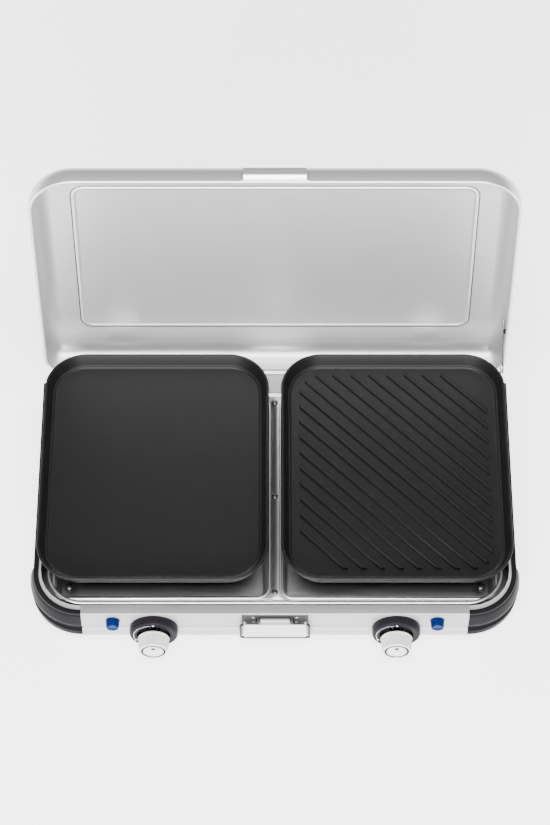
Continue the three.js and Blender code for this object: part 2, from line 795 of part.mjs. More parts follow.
function panSupport() {
  const half = SUPPORT_BAR / 2;
  const low = SUPPORT_TOP - SUPPORT_BAR;
  const edge = SUPPORT_HALF;
  const reach = 30; // fingers stop this far from the burner's middle
  const bars = [-1, 1].flatMap((side) => {
    const near = Math.min(side * reach, side * edge);
    const far = Math.max(side * reach, side * edge);
    return [
      block(-edge, edge, side * edge - half, side * edge + half, low, SUPPORT_TOP),
      block(side * edge - half, side * edge + half, -edge, edge, low, SUPPORT_TOP),
      block(near, far, -half, half, low, SUPPORT_TOP),
      block(-half, half, near, far, low, SUPPORT_TOP),
      ...[-1, 1].map((end) => block(
        side * edge - half,
        side * edge + half,
        end * edge - half,
        end * edge + half,
        WELL_FLOOR + GAP,
        SUPPORT_TOP,
      )),
    ];
  });
  return join(...bars).translate(BURNER_X, BURNER_Y, 0);
}
addPair("pan_support", panSupport, "blackCoat");

function sparkElectrode() {
  const rodBody = turned([
    [0, WELL_FLOOR - 8],
    [ELECTRODE_RADIUS, WELL_FLOOR - 8],
    [ELECTRODE_RADIUS, BURNER_TOP],
    [0.8, BURNER_TOP],
    [0.8, BURNER_TOP + 4],
    [0, BURNER_TOP + 4],
  ], 12);
  return rodBody.translate(BURNER_X + ELECTRODE_REACH, BURNER_Y, 0);
}
addPair("spark_electrode", sparkElectrode, "ceramic");

// ---- gas train ----

const VALVE_BACK = WELL_FRONT - 3;
const VALVE_FRONT = PANEL_FRONT + 7;
const MANIFOLD_Y = PANEL_FRONT + 16;
const MANIFOLD_Z = INLET_Z;
const MANIFOLD_RADIUS = 4;

function gasValve() {
  const body = rod([KNOB_X, VALVE_FRONT, KNOB_Z], [KNOB_X, VALVE_BACK, KNOB_Z], 8, 16);
  const saddle = block(
    KNOB_X - 5,
    KNOB_X + 5,
    MANIFOLD_Y - 5,
    MANIFOLD_Y + 5,
    MANIFOLD_Z + MANIFOLD_RADIUS + GAP,
    KNOB_Z,
  );
  const jet = rod([KNOB_X, VALVE_BACK - 1, BURNER_TUBE_Z], [KNOB_X, WELL_FRONT + 8, BURNER_TUBE_Z], 2.5);
  const socket = rod(
    [KNOB_X, VALVE_FRONT - 1, KNOB_Z],
    [KNOB_X, VALVE_FRONT + 10, KNOB_Z],
    SPINDLE_RADIUS + PIN_CLEARANCE,
  );
  return cut(join(body, saddle, jet), socket);
}
addPair("gas_valve", gasValve, "brass");

const PIPE_TURN = 14;

function gasManifold() {
  const start = [-KNOB_X - 12, MANIFOLD_Y, MANIFOLD_Z];
  return join(
    rod(start, [INLET_X - PIPE_TURN - 18, MANIFOLD_Y, MANIFOLD_Z], MANIFOLD_RADIUS),
    tube([
      [INLET_X - PIPE_TURN - 20, MANIFOLD_Y, MANIFOLD_Z],
      [INLET_X - PIPE_TURN - 12, MANIFOLD_Y, MANIFOLD_Z],
      [INLET_X - PIPE_TURN / 2, MANIFOLD_Y + PIPE_TURN / 2, MANIFOLD_Z],
      [INLET_X, MANIFOLD_Y + PIPE_TURN + 12, MANIFOLD_Z],
      [INLET_X, MANIFOLD_Y + PIPE_TURN + 20, INLET_Z],
    ], MANIFOLD_RADIUS, 10, 12),
    rod(
      [INLET_X, MANIFOLD_Y + PIPE_TURN + 18, INLET_Z],
      [INLET_X, BASE_REAR - 21, INLET_Z],
      MANIFOLD_RADIUS,
    ),
  );
}
add("gas_manifold", gasManifold(), "steelWire");

function gasInlet() {
  return turnedForward([
    [0, 0],
    [3.6, 0],
    [4.6, 1],
    [3.8, 5],
    [4.6, 6],
    [3.8, 10],
    [5, 11],
    [5, 22],
    [7.5, 22],
    [7.5, 30],
    [5.5, 30],
    [5.5, 38],
    [0, 38],
  ], 16).translate(INLET_X, BASE_REAR + 19, INLET_Z);
}
add("gas_inlet", gasInlet(), "brass");

// ---- knobs ----

const KNOB_BACK = PANEL_FRONT - KNOB_STANDOFF;
const KNOB_BORE = KNOB_RADIUS + 0.8;
const BEZEL_RADIUS = KNOB_RADIUS + BEZEL_MARGIN;

function bezel() {
  return turnedForward([
    [SPINDLE_HOLE, GAP],
    [BEZEL_RADIUS, GAP],
    [BEZEL_RADIUS, BEZEL_DEPTH - 2],
    [BEZEL_RADIUS - 2, BEZEL_DEPTH],
    [KNOB_BORE, BEZEL_DEPTH],
    [KNOB_BORE, BEZEL_FLOOR],
    [SPINDLE_HOLE, BEZEL_FLOOR],
    [SPINDLE_HOLE, GAP],
  ], 32).translate(0, PANEL_FRONT, KNOB_Z);
}
addTwice("knob_bezel", bezel, KNOB_X, "greyPlastic");

function knob() {
  const core = turnedForward([
    [0, 0],
    [KNOB_HUB_RADIUS, 0],
    [KNOB_HUB_RADIUS, KNOB_HUB],
    [KNOB_RADIUS, KNOB_HUB],
    [KNOB_RADIUS, KNOB_HUB + 2],
    [KNOB_RADIUS - KNOB_TAPER + 0.3, KNOB_LENGTH - 1.5],
    [KNOB_RADIUS - 2 * KNOB_TAPER, KNOB_LENGTH],
    [0, KNOB_LENGTH],
  ], KNOB_GRIPS);
  const socket = rod([0, 1, 0], [0, -KNOB_LENGTH / 2, 0], SPINDLE_RADIUS + PIN_CLEARANCE);
  return cut(core, socket).translate(0, KNOB_BACK, KNOB_Z);
}
addTwice("knob", knob, KNOB_X, "whitePlastic");

const SPINDLE_BACK = VALVE_FRONT + 10 - KNOB_TRAVEL - 1;

function spindle() {
  return rod([0, KNOB_BACK - 10, KNOB_Z], [0, SPINDLE_BACK, KNOB_Z], SPINDLE_RADIUS);
}
addTwice("valve_spindle", spindle, KNOB_X, "steelWire");

const SPRING_RADIUS = 5.2;
const SPRING_TURNS = 3;

// The return spring rides with the push, clear of the valve by the knob's travel.
function returnSpring() {
  const [front, back] = [KNOB_BACK + GAP + 0.8, VALVE_FRONT - KNOB_TRAVEL - 1.1];
  const points = [];
  const steps = SPRING_TURNS * 8;
  for (let i = 0; i <= steps; i += 1) {
    const angle = (i / 8) * 2 * Math.PI;
    points.push([
      SPRING_RADIUS * Math.cos(angle),
      front + ((back - front) * i) / steps,
      KNOB_Z + SPRING_RADIUS * Math.sin(angle),
    ]);
  }
  return tube(points, 0.7, steps, 6);
}
addTwice("knob_spring", returnSpring, KNOB_X, "steelWire");

// ---- piezo igniters ----

const BARREL_RADIUS = BUTTON_RADIUS + BARREL_WALL;

function igniterBarrel() {
  return turnedForward([
    [0, -BARREL_DEPTH],
    [BARREL_RADIUS, -BARREL_DEPTH],
    [BARREL_RADIUS, 0],
    [BUTTON_RADIUS + 0.5, 0],
    [BUTTON_RADIUS + 0.5, -BUTTON_TRAVEL - 3],
    [4.6, -BUTTON_TRAVEL - 3],
    [4.6, -BARREL_DEPTH + 1.5],
    [0, -BARREL_DEPTH + 1.5],
  ], 20).translate(0, PANEL_FRONT + SHEET + GAP, BUTTON_Z);
}
addTwice("igniter_barrel", igniterBarrel, BUTTON_X, "blackTrim");

function igniterButton() {
  return turnedForward([
    [0, -BUTTON_TRAVEL - 2],
    [4, -BUTTON_TRAVEL - 2],
    [4, 0],
    [BUTTON_RADIUS, 0],
    [BUTTON_RADIUS - 0.6, BUTTON_STANDOUT - 1],
    [BUTTON_RADIUS - 1.6, BUTTON_STANDOUT],
    [0, BUTTON_STANDOUT],
  ], 20).translate(0, PANEL_FRONT, BUTTON_Z);
}
addTwice("igniter_button", igniterButton, BUTTON_X, "bluePlastic");

const LEAD_RADIUS = 1.3;

function ignitionLead() {
  const exitY = PANEL_FRONT + 12;
  const low = WELL_FLOOR - SHEET - 5;
  const top = BUTTON_Z - BARREL_RADIUS - GAP;
  return tube([
    [BUTTON_X, exitY, top],
    [BUTTON_X, exitY + 1, top - 3],
    [BUTTON_X - 1, WELL_FRONT + 10, low - 6],
    [BUTTON_X - 2, WELL_FRONT + 64, low - 7],
    [BURNER_X + ELECTRODE_REACH, BURNER_Y - 30, low - 9],
    [BURNER_X + ELECTRODE_REACH, BURNER_Y - 4, low - 8],
    [BURNER_X + ELECTRODE_REACH, BURNER_Y, low - 4.4],
    [BURNER_X + ELECTRODE_REACH, BURNER_Y, WELL_FLOOR - 8 - GAP],
  ], LEAD_RADIUS, 24);
}
addPair("ignition_lead", ignitionLead, "blackTrim");

// ---- latch ----

const LATCH_EAR_INNER = 19.4;
const LATCH_EAR = 1.8;
const BRACKET_HALF = 40.7;

function latchBracket() {
  const front = PANEL_FRONT - GAP;
  const low = LATCH_AXIS_Z - 17;
  const shape = alongX([
    [front, low],
    [front, PANEL_TOP - 2],
    [front - SHEET, PANEL_TOP - 2],
    [front - SHEET, low],
  ], -BRACKET_HALF, BRACKET_HALF);
  const ears = [-1, 1].map((side) => {
    const inner = side * LATCH_EAR_INNER;
    const outer = side * (LATCH_EAR_INNER + LATCH_EAR);
    return block(
      Math.min(inner, outer),
      Math.max(inner, outer),
      LATCH_AXIS_Y - 3,
      front,
      LATCH_AXIS_Z - 3,
      LATCH_AXIS_Z + 3,
    );
  });
  const bore = rod([-30, LATCH_AXIS_Y, LATCH_AXIS_Z], [30, LATCH_AXIS_Y, LATCH_AXIS_Z], 1.9);
  return cut(join(shape, ...ears), bore);
}
add("latch_bracket", latchBracket(), "paleShell");
add(
  "latch_pin",
  rod([-23.5, LATCH_AXIS_Y, LATCH_AXIS_Z], [23.5, LATCH_AXIS_Y, LATCH_AXIS_Z], 1.5),
  "blackTrim",
);

const LEVER_TOP = BAIL_Z + 3.2;
const LEVER_TAB = 1.4;

function latchLever() {
  const back = LATCH_PLATE_Y + SHEET;
  const plate = block(-LATCH_HALF, LATCH_HALF, LATCH_PLATE_Y, back, LATCH_BOTTOM, LEVER_TOP);
  const neckHalf = LATCH_EAR_INNER - 0.8;
  const neck = block(-neckHalf, neckHalf, LATCH_PLATE_Y, back, LEVER_TOP - 1, LATCH_AXIS_Z + 1);
  const barrel = rod(
    [-neckHalf, LATCH_AXIS_Y, LATCH_AXIS_Z],
    [neckHalf, LATCH_AXIS_Y, LATCH_AXIS_Z],
    3.4,
  );
  const lip = rod(
    [-LATCH_HALF + 1, LATCH_PLATE_Y - 0.4, LATCH_BOTTOM],
    [LATCH_HALF - 1, LATCH_PLATE_Y - 0.4, LATCH_BOTTOM],
    1.8,
    10,
  );
  const tabs = [-1, 1].map((side) => {
    const inner = side * (LATCH_HALF - LEVER_TAB);
    const outer = side * LATCH_HALF;
    return block(
      Math.min(inner, outer),
      Math.max(inner, outer),
      back - 0.2,
      BAIL_Y + 3.2,
      BAIL_Z - 4,
      LEVER_TOP,
    );
  });
  const web = block(-neckHalf, neckHalf, back - 0.2, LATCH_AXIS_Y, LATCH_AXIS_Z - 1, LATCH_AXIS_Z + 1);
  const pinBore = rod([-30, LATCH_AXIS_Y, LATCH_AXIS_Z], [30, LATCH_AXIS_Y, LATCH_AXIS_Z], 1.8);
  const bailBore = rod([-60, BAIL_Y, BAIL_Z], [60, BAIL_Y, BAIL_Z], BAIL_RADIUS + PIN_CLEARANCE);
  return cut(cut(join(plate, neck, barrel, lip, web, ...tabs), bailBore), pinBore);
}
add("latch_lever", latchLever(), "whitePlastic");

function latchBail() {
  const end = LATCH_HALF - LEVER_TAB - 3;
  const low = BAIL_Z - BAIL_LENGTH;
  const corners = [
    [-end, BAIL_Z],
    [-BAIL_HALF, BAIL_Z],
    [-BAIL_HALF, low],
    [BAIL_HALF, low],
    [BAIL_HALF, BAIL_Z],
    [end, BAIL_Z],
  ];
  const rods = corners.slice(1).map(([x, z], i) => {
    const [fromX, fromZ] = corners[i];
    return rod([fromX, BAIL_Y, fromZ], [x, BAIL_Y, z], BAIL_RADIUS, 10);
  });
  const knees = corners.slice(1, -1).map(([x, z]) =>
    new THREE.SphereGeometry(BAIL_RADIUS, 8, 4).translate(x, BAIL_Y, z),
  );
  return join(...rods, ...knees);
}
add("latch_bail", latchBail(), "steelWire");

// ---- lift-off plates ----

const platePlan = {
  left: PLATE_INNER,
  right: PLATE_OUTER,
  front: PLATE_FRONT,
  rear: PLATE_REAR,
  frontRadius: PLATE_RADIUS,
  rearRadius: PLATE_RADIUS,
};

function griddle() {
  const surface = PLATE_TOP - PLATE_SURFACE_DEPTH;
  return round(platePlan, [
    [PLATE_DRAFT + PLATE_FOOT + 5, PLATE_BOTTOM + PLATE_FOOT_HEIGHT],
    [PLATE_DRAFT + PLATE_FOOT + 3, PLATE_BOTTOM],
    [PLATE_DRAFT + 3, PLATE_BOTTOM],
    [PLATE_DRAFT, PLATE_BOTTOM + 3],
    [0.6, PLATE_TOP - 2.2],
    [0.6, PLATE_TOP - 0.8],
    [1.4, PLATE_TOP],
    [PLATE_WALL, PLATE_TOP],
    [PLATE_WALL + 1, PLATE_TOP - 1.4],
    [PLATE_LEDGE, PLATE_TOP - PLATE_LEDGE_DEPTH],
    [PLATE_SURFACE_INSET - 3, surface + 0.6],
    [PLATE_SURFACE_INSET, surface],
  ]);
}

function grillPlate() {
  const surface = PLATE_TOP - PLATE_SURFACE_DEPTH;
  const middleX = (PLATE_INNER + PLATE_OUTER) / 2;
  const middleY = (PLATE_FRONT + PLATE_REAR) / 2;
  const length = PLATE_REAR - PLATE_FRONT + PLATE_OUTER - PLATE_INNER;
  const field = plate2d(
    platePlan,
    PLATE_SURFACE_INSET + RIB_MARGIN,
    surface - 1,
    surface + RIB_HEIGHT,
  );
  const bars = [];
  for (let i = 0; i < RIB_COUNT; i += 1) {
    const offset = (i - (RIB_COUNT - 1) / 2) * RIB_PITCH;
    const half = RIB_WIDTH / 2;
    bars.push(
      alongX([
        [offset - half, surface - 1],
        [offset + half, surface - 1],
        [offset + half - 0.7, surface + RIB_HEIGHT],
        [offset - half + 0.7, surface + RIB_HEIGHT],
      ], -length / 2, length / 2)
        .rotateZ(THREE.MathUtils.degToRad(RIB_ANGLE))
        .translate(middleX, middleY, 0),
    );
  }
  return join(griddle(), trim(join(...bars), field));
}
add("griddle_plate_left", mirrored(griddle()), "blackCoat");
add("grill_plate_right", grillPlate(), "blackCoat");

// ---- lid, drawn shut and turned open about its hinge ----

const lid = new THREE.Group();
lid.position.set(0, HINGE_Y, HINGE_Z);
lid.rotation.x = THREE.MathUtils.degToRad(-LID_OPENING);
grill.add(lid);

function addToLid(name, geometry, finish) {
  add(name, geometry.translate(0, -HINGE_Y, -HINGE_Z), finish, lid);
}

const lidPlan = {
  left: -LID_WIDTH / 2,
  right: LID_WIDTH / 2,
  front: LID_FRONT,
  rear: LID_REAR,
  frontRadius: LID_FRONT_RADIUS,
  rearRadius: LID_REAR_RADIUS,
};
// [inset, z] round the lid's fillet, drawn in by a wall, from the side to the top.
function filletArc(wall) {
  const points = [];
  const radius = LID_FILLET - wall;
  for (let i = 0; i <= FILLET_STEPS; i += 1) {
    const angle = (i / FILLET_STEPS) * (Math.PI / 2);
    points.push([
      LID_FILLET - radius * Math.cos(angle),
      LID_TOP - LID_FILLET + radius * Math.sin(angle),
    ]);
  }
  return points;
}

// [inset, z] across the pressed groove, from the edge inwards.
function grooveLine(z) {
  const start = LID_GROOVE_INSET;
  return [
    [start - 2, z],
    [start, z - LID_GROOVE_DEPTH],
    [start + LID_GROOVE_WIDTH, z - LID_GROOVE_DEPTH],
    [start + LID_GROOVE_WIDTH + 2, z],
  ];
}

function lidShell() {
  const outside = [
    [0, LID_RIM + 0.6],
    ...filletArc(0),
    ...grooveLine(LID_TOP),
  ];
  const inside = [
    [LID_HEM, LID_RIM],
    [LID_HEM, LID_RIM + SHEET],
    [SHEET, LID_RIM + SHEET],
    ...filletArc(SHEET),
    ...grooveLine(LID_TOP - SHEET),
  ];
  const dome = round(lidPlan, [...outside.reverse(), [0.6, LID_RIM], ...inside]);
  const hemNotches = SIDES.map(([, side]) => block(
    side * HINGE_X - HINGE_HALF + 1,
    side * HINGE_X + HINGE_HALF - 1,
    LID_REAR - LID_HEM - 1,
    LID_REAR - SHEET - 0.01,
    LID_RIM - 1,
    LID_RIM + SHEET + 0.5,
  ));
  return cut(dome, ...hemNotches);
}
addToLid("lid_shell", lidShell(), "satinSteel");

function hingeArm() {
  const half = HINGE_HALF - EAR - 0.6;
  const wall = LID_REAR - SHEET - GAP;
  const plateAlong = alongX([
    [wall, LID_TOP - LID_FILLET],
    [wall - 2.6, LID_TOP - LID_FILLET],
    [wall - 2.6, LID_RIM + 1],
    [HINGE_Y - 4, HINGE_Z + 3],
    [HINGE_Y + 4, HINGE_Z - 2.5],
    [wall, LID_RIM - 3],
  ], -half, half);
  const knuckle = rod([-half, HINGE_Y, HINGE_Z], [half, HINGE_Y, HINGE_Z], KNUCKLE_RADIUS, 16);
  const bore = rod([-half - 1, HINGE_Y, HINGE_Z], [half + 1, HINGE_Y, HINGE_Z], PIN_RADIUS + PIN_CLEARANCE);
  return cut(join(plateAlong, knuckle), bore);
}
SIDES.forEach(([name, side]) => {
  addToLid("lid_hinge_arm_" + name, hingeArm().translate(side * HINGE_X, 0, 0), "satinSteel");
});

const CATCH_HALF = 38;
const CATCH_REACH = 8;

function lidCatch() {
  const wall = LID_FRONT - GAP;
  const face = LID_FRONT - CATCH_REACH;
  const base = alongX([
    [wall, LID_RIM + 0.4],
    [wall, LID_RIM + 11],
    [wall - SHEET, LID_RIM + 11],
    [wall - SHEET, LID_RIM + 2.2],
    [wall - SHEET, LID_RIM + 0.4],
  ], -CATCH_HALF - 4, CATCH_HALF + 4);
  const hook = alongX([
    [wall - 0.4, LID_RIM + 0.4],
    [face, LID_RIM + 4],
    [face, LID_RIM + 15.7],
    [face + 1.1, LID_RIM + 15.7],
    [face + 1.1, LID_RIM + 13.2],
    [face + 5, LID_RIM + 13.2],
    [face + 5, LID_RIM + 12],
    [face + SHEET, LID_RIM + 12],
    [face + SHEET, LID_RIM + 4.8],
    [wall - 0.4, LID_RIM + 1.8],
  ], -CATCH_HALF, CATCH_HALF);
  return join(base, hook);
}
addToLid("lid_catch", lidCatch(), "satinSteel");

// Turns a point of the open lid back to where it is drawn shut.
function shutPoint(y, z) {
  const point = new THREE.Vector3(0, y - HINGE_Y, z - HINGE_Z);
  point.applyAxisAngle(new THREE.Vector3(1, 0, 0), THREE.MathUtils.degToRad(LID_OPENING));
  return [point.y + HINGE_Y, point.z + HINGE_Z];
}

const stayLean = THREE.MathUtils.degToRad(STAY_ANGLE);
const [stayAlongY, stayAlongZ] = [Math.cos(stayLean), Math.sin(stayLean)];

function stayPoint(reach, sideways = 0) {
  return [
    STAY_Y + reach * stayAlongY - sideways * stayAlongZ,
    STAY_Z + reach * stayAlongZ + sideways * stayAlongY,
  ];
}

// Two tabs on the lid's side wall with the stay's wire between them, clear of the plate beside it.
function stayClip() {
  const inner = PLATE_OUTER + GAP;
  const outer = LID_WIDTH / 2 - SHEET - 1.2; // clear of the foot of the lid's fillet
  const tab = 1.6;
  const upper = STAY_RADIUS + STAY_CLIP_ABOVE;
  const lower = STAY_RADIUS + STAY_CLIP_BELOW;
  const ends = [STAY_CLIP_REACH - STAY_CLIP_HALF, STAY_CLIP_REACH + STAY_CLIP_HALF];
  const ring = (from, to, x0, x1) => alongX(
    [
      stayPoint(ends[0], from),
      stayPoint(ends[1], from),
      stayPoint(ends[1], to),
      stayPoint(ends[0], to),
    ].map(([y, z]) => shutPoint(y, z)),
    x0,
    x1,
  );
  return join(
    ring(-lower - tab, upper + tab, outer - 1.4, outer),
    ring(upper, upper + tab, inner, outer),
    ring(-lower - tab, -lower, inner, outer),
  );
}
addToLid("stay_clip", stayClip(), "blackTrim");

// ---- stay wire and its post on the base ----

const STAY_EYE = 4.4;

function stayWire() {
  const [endY, endZ] = stayPoint(STAY_LENGTH);
  const eye = rod(
    [STAY_X - STAY_RADIUS, STAY_Y, STAY_Z],
    [STAY_X + STAY_RADIUS, STAY_Y, STAY_Z],
    STAY_EYE,
    16,
  );
  const bore = rod([STAY_X - 4, STAY_Y, STAY_Z], [STAY_X + 4, STAY_Y, STAY_Z], PIN_RADIUS + PIN_CLEARANCE);
  const wire = rod([STAY_X, ...stayPoint(3)], [STAY_X, endY, endZ], STAY_RADIUS);
  return cut(join(wire, eye), bore);
}
add("lid_stay", stayWire(), "steelWire");

function stayPost() {
  const outer = STAY_X - STAY_RADIUS - 3 * GAP;
  const inner = outer - 1.8;
  const post = block(inner, outer, STAY_Y - 4, STAY_Y + 4, STAY_Z - 23.6, STAY_Z + 4);
  const stud = rod([inner + 0.5, STAY_Y, STAY_Z], [STAY_X + STAY_RADIUS + 0.2, STAY_Y, STAY_Z], PIN_RADIUS);
  return join(post, stud);
}
add("stay_post", stayPost(), "satinSteel");

// Centres the whole object front to back.
const extent = new THREE.Box3().setFromObject(grill);
grill.position.y = -(extent.min.y + extent.max.y) / 2;

export default grill;
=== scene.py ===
"""Folding two-burner camp grill: detailed pieces, finishes, camera and light.

Drawing coordinates are millimetres: x across, y front (-) to back (+), z up from the table.
"""

import json
import math

import bmesh
import bpy
from mathutils import Matrix, Vector


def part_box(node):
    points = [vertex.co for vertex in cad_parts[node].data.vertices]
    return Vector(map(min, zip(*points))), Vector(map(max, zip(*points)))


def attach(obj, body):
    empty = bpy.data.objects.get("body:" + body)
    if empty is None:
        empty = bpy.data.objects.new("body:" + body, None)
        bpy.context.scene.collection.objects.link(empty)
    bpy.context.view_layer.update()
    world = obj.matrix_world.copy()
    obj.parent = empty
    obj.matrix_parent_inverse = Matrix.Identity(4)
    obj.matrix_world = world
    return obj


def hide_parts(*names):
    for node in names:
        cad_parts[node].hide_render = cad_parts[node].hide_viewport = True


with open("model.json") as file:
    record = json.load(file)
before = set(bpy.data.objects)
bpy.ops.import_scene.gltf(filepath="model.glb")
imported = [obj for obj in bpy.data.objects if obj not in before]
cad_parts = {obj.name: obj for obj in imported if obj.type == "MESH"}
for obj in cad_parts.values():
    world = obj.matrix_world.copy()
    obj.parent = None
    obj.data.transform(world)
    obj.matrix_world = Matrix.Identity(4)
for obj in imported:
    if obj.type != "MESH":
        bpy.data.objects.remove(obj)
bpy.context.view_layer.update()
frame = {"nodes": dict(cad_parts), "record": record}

# ---- sizes shared by several pieces, in millimetres ----

MM = 0.001
SIDES = (("left", -1), ("right", 1))
PANEL_FRONT = -190.0  # the front panel's y in the drawing
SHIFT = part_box("front_panel")[0].y / MM - PANEL_FRONT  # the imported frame's y less the drawing's
CORNER_STEPS = 26  # points round each corner of an outline
SHEET = 1.2  # pressed sheet metal
NEEDLE = 0.01  # radius where a turned profile meets its axis

RECORD = frame["record"]
SLOT_OF = {row["node"]: row["material_slot"] for row in RECORD["subparts"] if row.get("material_slot")}
JOINTS = {joint["name"]: joint for joint in RECORD["behaviour"]["joints"]}


def joint_place(name):
    """A joint's y and z in drawing coordinates."""
    _, y, z = JOINTS[name]["pos_m"]
    return y / MM - SHIFT, z / MM


LID_OPENING = math.radians(-JOINTS["lid_hinge"]["range_deg"][0])
HINGE_Y, HINGE_Z = joint_place("lid_hinge")


def millimetres(node):
    """Lowest and highest corner of a CAD node in drawing coordinates."""
    low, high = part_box(node)
    return [Vector((p.x / MM, p.y / MM - SHIFT, p.z / MM)) for p in (low, high)]


# ---- shape helpers ----

def softened(points, radius, steps=4, closed=True):
    """A polyline with each corner rounded by a short curve of about that radius."""
    count = len(points)
    out = []
    for i, here in enumerate(points):
        if not closed and i in (0, count - 1):
            out.append(tuple(here))
            continue
        here = Vector(here)
        before = Vector(points[i - 1])
        after = Vector(points[(i + 1) % count])
        into, away = here - before, after - here
        reach = min(radius, into.length * 0.45, away.length * 0.45)
        if reach < 1e-4 or into.angle(away, 0) < math.radians(6):
            out.append(tuple(here))
            continue
        start = here - into.normalized() * reach
        end = here + away.normalized() * reach
        for k in range(steps + 1):
            t = k / steps
            out.append(tuple(start * (1 - t) ** 2 + here * 2 * t * (1 - t) + end * t * t))
    return out


def outline(plan, inset, steps=CORNER_STEPS):
    """A plan's points, anticlockwise from above, drawn in by inset.

    A plan is a rectangle with rounded corners: left, right, front, rear, front radius, rear radius.
    """
    left, right, front, rear, front_radius, rear_radius = plan
    corners = (
        (right, front, 1, 1, front_radius),
        (right, rear, 1, -1, rear_radius),
        (left, rear, -1, -1, rear_radius),
        (left, front, -1, 1, front_radius),
    )
    points = []
    for quarter, (x, y, side, inward, full) in enumerate(corners):
        radius = max(full - inset, 0.5)
        centre_x = x - side * (inset + radius)
        centre_y = y + inward * (inset + radius)
        for i in range(steps + 1):
            angle = (quarter - 1 + i / steps) * math.pi / 2
            points.append((centre_x + radius * math.cos(angle), centre_y + radius * math.sin(angle)))
    return points


def skinned(rows, ring=False):
    """Vertices and faces through closed rows of points, capped unless a ring joins the last to the first."""
    count = len(rows[0])
    verts = [p for row in rows for p in row]
    faces = []
    for i in range(len(rows) if ring else len(rows) - 1):
        here, after = i * count, (i + 1) % len(rows) * count
        for j in range(count):
            k = (j + 1) % count
            faces.append((here + j, here + k, after + k, after + j))
    if not ring:
        faces.append(tuple(reversed(range(count))))
        faces.append(tuple(range((len(rows) - 1) * count, len(rows) * count)))
    return verts, faces


def carried(plan, profile, ring=False):
    """An (inset, z) profile carried round a plan; a row may name a plan of its own."""
    rows = []
    for inset, z, *own in profile:
        rows.append([(x, y, z) for x, y in outline(own[0] if own else plan, inset)])
    return skinned(rows, ring)


def along_x(profile, x0, x1):
    """A closed (y, z) profile drawn out from x0 to x1."""
    return skinned([[(x, y, z) for y, z in profile] for x in (x0, x1)])


def turned(profile, centre=(0, 0, 0), sides=48, forward=False, wave=None):
    """A (radius, height) profile turned about an upright line, or about one towards the front.

    A wave of (angle, radius, height) adds to the radius.
    """
    rows = []
    for radius, height in profile:
        row = []
        for i in range(sides):
            angle = 2 * math.pi * i / sides
            r = max(radius, NEEDLE) + (wave(angle, radius, height) if wave else 0)
            a, b = r * math.cos(angle), r * math.sin(angle)
            local = (a, -height, b) if forward else (a, b, height)
            row.append(tuple(c + d for c, d in zip(centre, local)))
        rows.append(row)
    return skinned(rows)


def slab(x0, x1, y0, y1, z0, z1):
    """A plain block, used for cutting and as the start of bevelled pieces."""
    return along_x([(y0, z0), (y1, z0), (y1, z1), (y0, z1)], x0, x1)


def rod(start, end, radius, sides=24):
    """A round bar between two points, its ends eased."""
    start, end = Vector(start), Vector(end)
    axis = (end - start).normalized()
    across = axis.orthogonal().normalized()
    up = axis.cross(across)
    ease = min(radius * 0.35, (end - start).length * 0.2)
    tip = 0.62  # end face's share of the radius
    rows = []
    for at, share in ((start, tip), (start + axis * ease, 1), (end - axis * ease, 1), (end, tip)):
        ring = []
        for i in range(sides):
            angle = 2 * math.pi * i / sides
            r = radius * share
            ring.append(tuple(at + across * r * math.cos(angle) + up * r * math.sin(angle)))
        rows.append(ring)
    return skinned(rows)


def merged(*shapes):
    """Several shapes as one, side by side."""
    verts, faces = [], []
    for shape_verts, shape_faces in shapes:
        base = len(verts)
        verts.extend(shape_verts)
        faces.extend(tuple(base + i for i in face) for face in shape_faces)
    return verts, faces


def mirrored(shape):
    """The same shape on the other side of the middle."""
    verts, faces = shape
    return [(-x, y, z) for x, y, z in verts], [tuple(reversed(face)) for face in faces]


def opened(shape):
    """A shape drawn with the lid shut, turned about the hinge to the open lid."""
    verts, faces = shape
    cos, sin = math.cos(-LID_OPENING), math.sin(-LID_OPENING)
    out = []
    for x, y, z in verts:
        dy, dz = y - HINGE_Y, z - HINGE_Z
        out.append((x, HINGE_Y + dy * cos - dz * sin, HINGE_Z + dy * sin + dz * cos))
    return out, faces


def mesh_object(name, shape, sharp=32):
    """A Blender object from a shape in drawing coordinates, smooth up to the sharp angle."""
    verts, faces = shape
    mesh = bpy.data.meshes.new(name)
    mesh.from_pydata([(x * MM, (y + SHIFT) * MM, z * MM) for x, y, z in verts], [], faces)
    work = bmesh.new()
    work.from_mesh(mesh)
    bmesh.ops.recalc_face_normals(work, faces=work.faces)
    work.to_mesh(mesh)
    work.free()
    smooth(mesh, sharp)
    obj = bpy.data.objects.new(name, mesh)
    bpy.context.scene.collection.objects.link(obj)
    return obj


def smooth(mesh, sharp):
    """Smooth shading, with edges past the sharp angle kept crisp."""
    mesh.shade_smooth()
    mesh.set_sharp_from_angle(angle=math.radians(sharp))


def combine(obj, operation, *shapes, sharp=32):
    """Joins shapes to a piece, or cuts them from it, one after another."""
    for i, shape in enumerate(shapes):
        tool = mesh_object("tool_%d" % i, shape)
        modifier = obj.modifiers.new("work", "BOOLEAN")
        modifier.operation = operation
        modifier.object = tool
        modifier.solver = "EXACT"
        bpy.context.view_layer.update()
        solid = obj.evaluated_get(bpy.context.evaluated_depsgraph_get())
        made = bpy.data.meshes.new_from_object(solid)
        obj.modifiers.clear()
        obj.data = made
        bpy.data.objects.remove(tool)
    smooth(obj.data, sharp)


def bevelled(obj, width, segments=2, limit=40):
    """Breaks the sharp edges of a piece or a CAD node."""
    modifier = obj.modifiers.new("edges", "BEVEL")
    modifier.width = width * MM
    modifier.segments = segments
    modifier.limit_method = "ANGLE"
    modifier.angle_limit = math.radians(limit)
    modifier.harden_normals = True
    return obj


